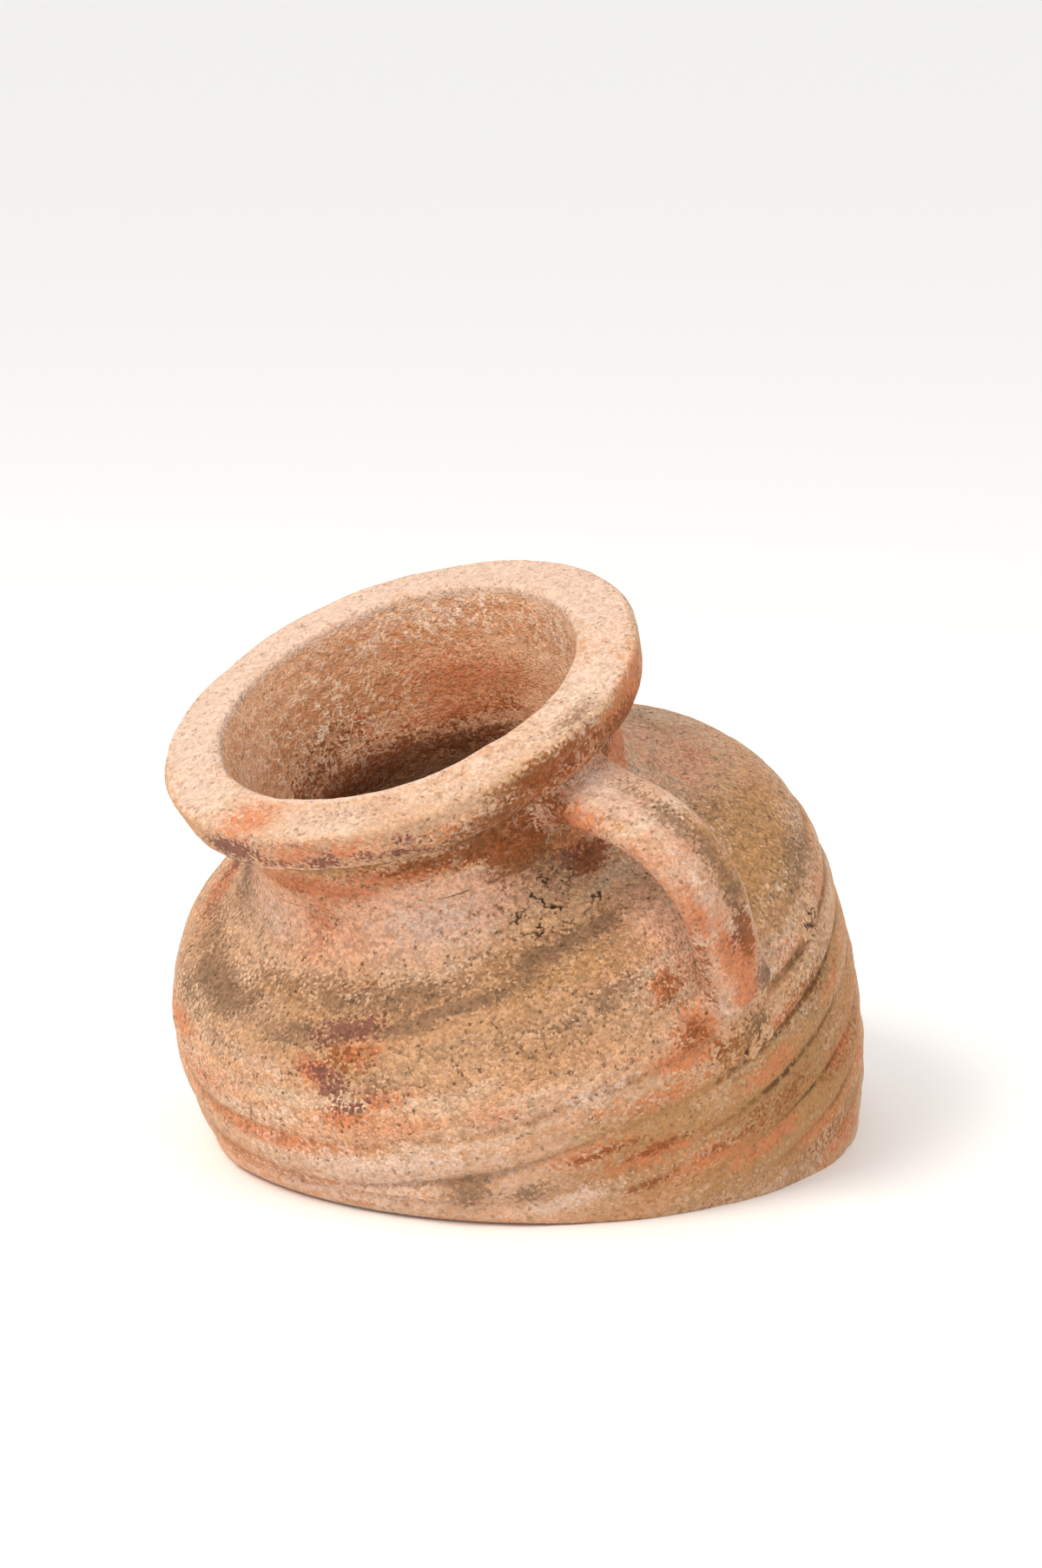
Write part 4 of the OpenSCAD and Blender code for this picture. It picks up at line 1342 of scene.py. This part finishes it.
# %% Bare clay and earth of the front
stains.update({
    # bare orange clay
    "rust": [
        # lip
        (14, 10, 20, 9, 0, 0.4), (-22, 14, 40, 9, 0, 0.4), (2, 20, 24, 17, 0, 0.75),
        (118, 36, 30, 8, 0, 0.7), (22, 42, 44, 12, 0, 0.65), (52, 44, 34, 10, 0, 0.5),
        (85, 44, 40, 13, 0, 0.8), (110, 44, 44, 12, 0, 0.8),
        # neck
        (35, 84, 70, 8, 0, 0.7), (72, 84, 26, 14, 0, 0.85), (4, 88, 32, 9, 0, 0.9),
        (15, 90, 30, 9, 0, 0.8), (122, 92, 46, 16, 0, 0.95), (6, 108, 16, 22, 10, 0.5),
        (86, 108, 16, 12, 0, 0.85), (18, 114, 12, 22, 0, 0.38), (30, 122, 18, 12, 0, 0.35),
        # shoulder
        (146, 140, 50, 34, 0, 0.36), (-62, 146, 46, 14, 14, 0.75), (22, 174, 20, 8, -4, 0.66),
        (14, 183, 15, 9, 20, 0.8), (80, 193, 16, 11, -30, 0.6), (-30, 194, 36, 12, 0, 0.55),
        (25, 194, 14, 8, -20, 0.55), (27, 199, 20, 6, -10, 0.7), (-14, 204, 46, 10, 0, 0.55),
        (20, 205, 22, 8, 0, 0.8),
        # belly
        (28, 212, 44, 8, 0, 0.5), (46, 216, 30, 8, 4, 0.45), (81, 219, 16, 12, 20, 0.95),
        (4, 220, 78, 6, 2, 0.75), (106, 222, 34, 8, 4, 0.4), (121, 222, 24, 9, 0, 0.45),
        (77, 228, 22, 8, 20, 0.8), (60, 232, 40, 6, 4, 0.45), (-6, 238, 40, 8, 0, 0.5),
        (72, 240, 34, 8, 8, 0.6), (14, 242, 50, 6, 2, 0.6), (96, 246, 34, 8, 4, 0.55),
        (56, 250, 34, 8, 6, 0.6), (116, 262, 26, 8, 0, 0.5), (92, 264, 30, 9, 4, 0.65),
        (66, 266, 36, 9, 8, 0.66), (75, 284, 38, 9, 8, 0.62), (112, 298, 26, 9, 4, 0.7),
        (86, 300, 34, 8, 6, 0.6), (118, 300, 50, 50, 0, 0.3), (121, 320, 24, 11, 0, 0.65),
        (102, 322, 34, 8, 4, 0.55), (108, 346, 30, 10, 4, 0.6),
    ],
    # brown and olive earth rubbed into the skin
    "ochre": [
        # lip
        (78, 38, 36, 13, 0, 0.7), (110, 43, 46, 12, 0, 0.85), (50, 48, 60, 10, 0, 0.6),
        # neck
        (70, 68, 44, 12, 0, 0.9), (20, 72, 60, 7, 0, 0.8), (74, 102, 30, 14, 0, 0.85),
        # shoulder
        (142, 138, 54, 34, 0, 0.5), (-40, 140, 80, 20, 0, 0.3), (10, 146, 90, 14, 0, 0.5),
        (66, 150, 60, 30, 0, 0.6), (118, 175, 80, 56, 0, 0.68), (50, 192, 80, 18, 4, 0.32),
        # belly
        (88, 240, 30, 10, 0, 0.7), (112, 256, 56, 12, 4, 0.75), (68, 262, 70, 40, 4, 0.75),
        (30, 264, 60, 10, 4, 0.4), (106, 280, 52, 10, 4, 0.7), (98, 290, 110, 60, 4, 0.85),
        (58, 306, 60, 12, 8, 0.45), (98, 310, 40, 10, 4, 0.65), (116, 336, 40, 12, 4, 0.65),
    ],
})
print("with bare clay and earth:", {kind: len(dabs) for kind, dabs in stains.items()})

# %% Dark stains and painted shade of the front
stains.update({
    # dark brown earth on the shoulder and the belly, and painted shade under the lip and under the strap's
    # head
    "umber_and_shade": [
        # lip: painted shade along the lower edge of its face
        (82, 41, 36, 12, 0, 1.0), (104, 48, 36, 9, 0, 0.8), (68, 50, 30, 9, 0, 1.0),
        (55, 54, 46, 6, 0, 0.5),
        # neck: painted shade under the lip and under the strap's head
        (30, 64, 70, 6, 0, 0.6), (67, 68, 34, 14, 0, 1.0), (32, 70, 40, 6, 0, 0.55),
        (70, 72, 40, 12, 0, 0.95), (48, 80, 40, 7, 0, 0.75), (108, 80, 30, 12, 0, 0.7),
        (66, 82, 34, 10, 0, 1.0), (72, 92, 26, 18, 0, 0.9), (88, 118, 18, 9, 0, 0.95),
        # shoulder
        (20, 177, 22, 14, 0, 0.55), (80, 196, 14, 12, -30, 0.6),
        # belly
        (80, 220, 12, 10, 20, 0.7), (86, 236, 20, 9, 0, 0.6), (88, 240, 26, 9, 0, 0.5),
        (85, 248, 26, 9, 10, 0.4), (106, 250, 46, 12, 4, 0.5), (58, 252, 30, 4, 6, 0.62),
        (68, 264, 34, 4, 8, 0.62), (64, 280, 30, 4, 8, 0.55), (80, 284, 30, 4, 8, 0.6),
        (92, 286, 46, 14, 6, 0.5), (112, 300, 46, 14, 4, 0.45), (104, 332, 46, 12, 4, 0.45),
    ],
    # soot and shade-grown grime
    "smoke": [
        # lip
        (30, 18, 30, 11, 0, 0.28), (95, 24, 20, 8, 0, 0.65),
        # neck
        (58, 66, 44, 8, 0, 0.7), (80, 112, 20, 12, 0, 0.5),
        # shoulder
        (0, 142, 60, 10, 0, 0.4), (28, 147, 64, 13, 4, 0.62), (67, 149, 30, 8, 0, 0.85),
        (-42, 150, 44, 16, 0, 0.5), (77, 150, 24, 8, 0, 0.7), (57, 157, 30, 6, 0, 0.5),
        (45, 159, 34, 5, 0, 0.85), (-20, 160, 40, 13, 0, 0.9), (32, 164, 26, 5, 0, 0.75),
        (8, 166, 34, 9, 0, 0.55), (-32, 176, 34, 12, 0, 0.5), (48, 180, 40, 8, 4, 0.35),
        (-10, 182, 40, 8, 0, 0.4), (71, 185, 26, 9, -4, 0.5), (62, 186, 40, 8, 4, 0.4),
        (26, 190, 16, 8, 0, 0.45), (124, 205, 44, 16, 0, 0.5),
        # belly
        (92, 238, 18, 8, 0, 0.5), (37, 250, 16, 12, 0, 0.7), (46, 260, 18, 8, 0, 0.5),
        (63, 316, 26, 9, 0, 0.4),
    ],
    # iron stains, nearly purple, and one dab of painted shade under the strap's head
    "plum_and_shade": [
        # lip
        (-2, 41, 26, 10, 0, 0.8), (46, 41, 18, 6, 0, 0.5), (24, 46, 16, 6, 0, 0.76),
        (35, 46, 13, 5, 0, 0.6), (12, 47, 16, 6, 0, 0.5),
        # neck; the dab at 88 degrees is painted shade in the hollow under the strap's head
        (0, 92, 16, 5, 0, 0.5), (88, 112, 14, 6, 20, 0.6),
        # shoulder
        (-68, 140, 26, 12, 20, 0.7), (21, 162, 24, 8, -3, 0.85), (14, 168, 12, 6, 0, 0.6),
        (15, 183, 17, 6, 10, 0.72), (18, 190, 13, 9, 15, 0.75), (21, 201, 16, 6, -10, 0.65),
    ],
})
print("stains of the front:", {kind: len(dabs) for kind, dabs in stains.items()})

# %% [markdown]
# ## Stains of the back and of the mouth, and painted shade in the mouth
# The photograph doesn't show the back, so its stains are strewn with a fixed seed, drawn out along the
# throwing lines as those of the front are. Small iron spots sit along the lip's edge. Places inside the
# mouth have distances below nought, and the dark brown dabs there are painted shade. Pale worm tracks
# run over most of the inside and a little of the lip and the neck.

# %% Stains of the back, strewn with a fixed seed
strewn = np.random.default_rng(11)
# least and most of each column of a dab
back_ranges = ((165, 300), (70, 400), (26, 84), (4, 11), (-5, 5), (0.4, 1))
spot_ranges = ((-14, 56), (42, 55), (4, 10), (2, 4), (-8, 8), (0.4, 0.8))
for kind, count, most in (("rust", 40, 0.7), ("ochre", 26, 0.7), ("smoke", 18, 0.7), ("slip_and_painted_light", 18, 0.6),
                          ("plum_and_shade", 5, 0.6), ("umber_and_shade", 14, 0.5), ("blush_and_painted_light", 12, 0.7)):
    for _ in range(count):
        *place, strength = [strewn.uniform(*ends) for ends in back_ranges]
        stains[kind].append((*place, strength * most))
stains["slip_and_painted_light"] += [(200, 17, 90, 25, 0, 0.85), (250, 17, 90, 25, 0, 0.9), (290, 16, 60, 25, 0, 0.85)]
iron_spots = 16
for _ in range(iron_spots):
    stains["plum_and_shade"].append([strewn.uniform(*ends) for ends in spot_ranges])
print("stains with the back:", {kind: len(dabs) for kind, dabs in stains.items()})

# %% Stains and painted shade inside the mouth, worm tracks and painted shade in deep grooves
mouth_stains = {
    "slip_and_painted_light": [(212, -8, 46, 9, 0, 0.4), (245, -14, 40, 16, 0, 0.3), (160, -18, 40, 30, 0, 0.4)],
    "rust": [(228, -34, 18, 30, 0, 0.42), (212, -44, 50, 24, 0, 0.6), (190, -44, 24, 20, 0, 0.5),
             (250, -52, 8, 10, 0, 0.75), (216, -62, 46, 9, 0, 0.75)],
    # dark brown dabs deep in the mouth: painted shade of the hollow
    "umber_and_shade": [(266, -53, 40, 13, 0, 0.55), (280, -62, 30, 12, 0, 0.7), (198, -62, 24, 12, 0, 0.42),
              (212, -67, 40, 7, 0, 0.5), (260, -76, 60, 14, 0, 0.9), (225, -78, 60, 9, 0, 0.8)],
    "blush_and_painted_light": [(298, -28, 20, 20, 0, 0.5)],
    "ochre": [(266, -48, 50, 18, 0, 0.4)],
}
for kind, dabs in mouth_stains.items():
    stains[kind] += dabs
worm_tracks = [(165, -18, 30, 34, 0, 0.7), (205, -10, 60, 16, 0, 1.0), (258, -40, 34, 30, 0, 1.0),
               (285, -34, 40, 34, 0, 0.8), (238, -36, 20, 26, 0, 0.7), (330, -30, 80, 40, 0, 0.8),
               (56, 45, 60, 9, 0, 0.22), (90, 48, 30, 10, 0, 0.3), (86, 72, 30, 16, 0, 0.4),
               (98, 20, 36, 12, 0, 0.4)]
# where the deepest grooves between the ridges get a dark line of painted shade
groove_shade_places = [(112, 250, 60, 60, 0, 0.8), (60, 246, 60, 8, 4, 0.5), (100, 300, 60, 40, 0, 0.8),
                (94, 266, 50, 34, 0, 0.9), (200, 300, 120, 60, 0, 0.8), (280, 260, 90, 50, 0, 0.7),
                (30, 242, 60, 8, 2, 0.4)]
print("stains inside the mouth:", {kind: len(dabs) for kind, dabs in mouth_stains.items()})

# %% [markdown]
# ## Painting the jar
# Each piece gets one number at each point for every kind of stain. Slip stops short at the edge of the
# lip, where it was knocked off. Two curves say how much painted shade the hollow gets with depth and how
# sandy the skin is from the throat to the foot.

# %% Paint the jar
lip_edge, edge_fade, lip_end, inner_fade = 31, 3, 70, 2
# painted shade of the hollow: how dark the inside grows with the distance down from the mouth
depth_downs, hollow_shade_by_depth = [64, 73, 82, 100, 160], [0, 0.14, 0.5, 0.9, 1]
grit_downs = [-90, -60, 0, 30, 58, 90, 205, 245, 420]
grit_shares = [0.1, 0.35, 0.5, 0.6, 0.95, 0.95, 0.95, 0.45, 0.5]
# the right side is sandier lower down, and rubbed clay is smoother
gritty_side = [(112, 240, 60, 90, 0, 0.95)]
rubbed_smooth = 0.2


def keep(obj, key, values):
    """Stores one number from 0 to 1 for each point of a piece under a name."""
    found = obj.data.attributes.get(key) or obj.data.attributes.new(key, "FLOAT", "POINT")
    found.data.foreach_set("value", np.clip(values, 0, 1).astype(np.float32))


for key, obj in piece.items():
    if key == "handle":
        continue
    places = jar_places(obj)
    down = places[1]
    amounts = {kind: dabbed(places, dabs) for kind, dabs in stains.items()}
    grit = np.maximum(np.interp(down, grit_downs, grit_shares), dabbed(places, gritty_side))
    grit = grit * (1 - rubbed_smooth * amounts["blush_and_painted_light"])
    on_flat = np.clip((lip_edge + edge_fade / 2 - down) / edge_fade, 0, 1)
    amounts["slip_and_painted_light"] *= np.where(down < lip_end, on_flat, 1)
    inner = np.ones(len(down)) if key == "base_coil" else np.clip(-down / inner_fade, 0, 1)
    # cut places the painted shade in the deepest grooves, and depth is the painted shade of the hollow
    amounts.update(cut=dabbed(places, groove_shade_places), worms=dabbed(places, worm_tracks), inside=inner,
                   depth=inner * np.interp(-down, depth_downs, hollow_shade_by_depth), grit=grit)
    for kind, amount in amounts.items():
        keep(obj, kind, amount)
    print(f"{obj.name}: painted {len(down)} points")

# %% [markdown]
# ## Painting the strap
# The strap has stains of its own, and a little painted light and shade, placed along and across it. Near
# the wall it shares those of the jar, which were rubbed over both while the joint was wiped, so the two
# are blended by the gap to the wall.

# %% Paint the strap
# columns: distance along the strap, place across it (-1 to 1), half length, half width, strength
strap_stains = {
    # the narrow slip dab along the right edge at 150 mm is a painted highlight
    "slip_and_painted_light": [(26, 0.1, 30, 0.6, 0.6), (60, -0.3, 26, 0.3, 0.4), (90, -0.4, 26, 0.3, 0.35),
             (150, 0.92, 44, 0.09, 0.8), (168, -0.85, 12, 0.25, 0.5)],
    "blush_and_painted_light": [(144, -0.6, 40, 0.4, 0.5), (166, -0.2, 14, 0.5, 0.4)],
    "ochre": [(56, 0.3, 40, 0.6, 0.35), (104, 0.5, 40, 0.5, 0.75), (50, -0.8, 50, 0.4, 0.4)],
    "rust": [(30, -0.95, 24, 0.4, 0.7), (74, -1.0, 34, 0.2, 0.4), (110, -0.85, 26, 0.3, 0.6),
             (136, -0.4, 24, 0.4, 0.85), (154, 0.05, 22, 0.5, 1.1), (168, -0.1, 16, 0.55, 0.85)],
    "smoke": [(48, 0.35, 22, 0.4, 0.45), (72, 0.25, 20, 0.4, 0.65), (90, 0.35, 18, 0.4, 0.65),
              (112, 0.4, 18, 0.4, 0.6), (172, 0.75, 14, 0.45, 0.9)],
    "plum_and_shade": [(134, 0.1, 10, 0.5, 0.5)],
    # the dark brown dabs on the left edge and under the left of the head are painted shade
    "umber_and_shade": [(132, 0.4, 22, 0.4, 0.95), (134, 0.0, 16, 0.7, 0.45), (146, -1.0, 40, 0.2, 0.5),
              (20, -0.9, 10, 0.25, 0.7)],
}
head_blend, foot_blend = 3.5, 1.2
# sand on the strap, how much more of it at the joint, and worm tracks there
strap_grit, joint_grit, joint_worms = 0.6, 0.3, 0.5
strap_along = np.repeat(strap_at, strap_sides)
strap_across = np.tile(across_unit, rings)
places = jar_places(piece["handle"])
blend = np.repeat(np.where(strap_at < head_end, head_blend, foot_blend), strap_sides)
at_wall = np.exp(-(np.clip(gap.ravel(), 0, None) / blend) ** 2)
for kind in stains:
    amount = np.zeros(len(strap_along))
    for at_along, at_across, long, wide, most in strap_stains.get(kind, []):
        off = ((strap_along - at_along) / long) ** 2 + ((strap_across - at_across) / wide) ** 2
        amount = np.maximum(amount, most * np.exp(-off))
    keep(piece["handle"], kind, amount * (1 - at_wall) + at_wall * dabbed(places, stains[kind]))
keep(piece["handle"], "grit", strap_grit + joint_grit * at_wall)
keep(piece["handle"], "worms", np.where(strap_along < head_end, joint_worms * at_wall, 0))
print(f"clay_handle: {np.mean(at_wall > 0.5):.0%} of its points share the jar's stains")

# %% [markdown]
# ## Riding on the jar
# Nothing on a fired pot moves, so every piece rides on the one body of the model. Each takes its clay,
# and the solid that it dresses is hidden. The crust stands for no solid: it is a thin skin on the wall.

# %% Ride
stands_for = {"lip": ("lip_ring", "terracotta_lip"), "neck": ("neck_collar", "terracotta_neck"),
              "coil": ("neck_coil", "terracotta_neck"), "shoulder": ("shoulder_wall", "terracotta_shoulder"),
              "belly": ("belly_wall", "terracotta_belly"), "slab": ("base_slab", "terracotta_base"),
              "base_coil": ("base_coil", "terracotta_coil"), "handle": ("handle", "terracotta_handle"),
              "foot_wad": ("foot_wad", "terracotta_handle"), "crust": (None, "terracotta_shoulder")}
for key, (node, slot) in stands_for.items():
    piece[key].data.materials.clear()
    piece[key].data.materials.append(pulled_clay if key == "handle" else thrown_clay)
    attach(piece[key], "root")
    if node:
        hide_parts(node)
print("pieces that ride on the jar:", len(stands_for))
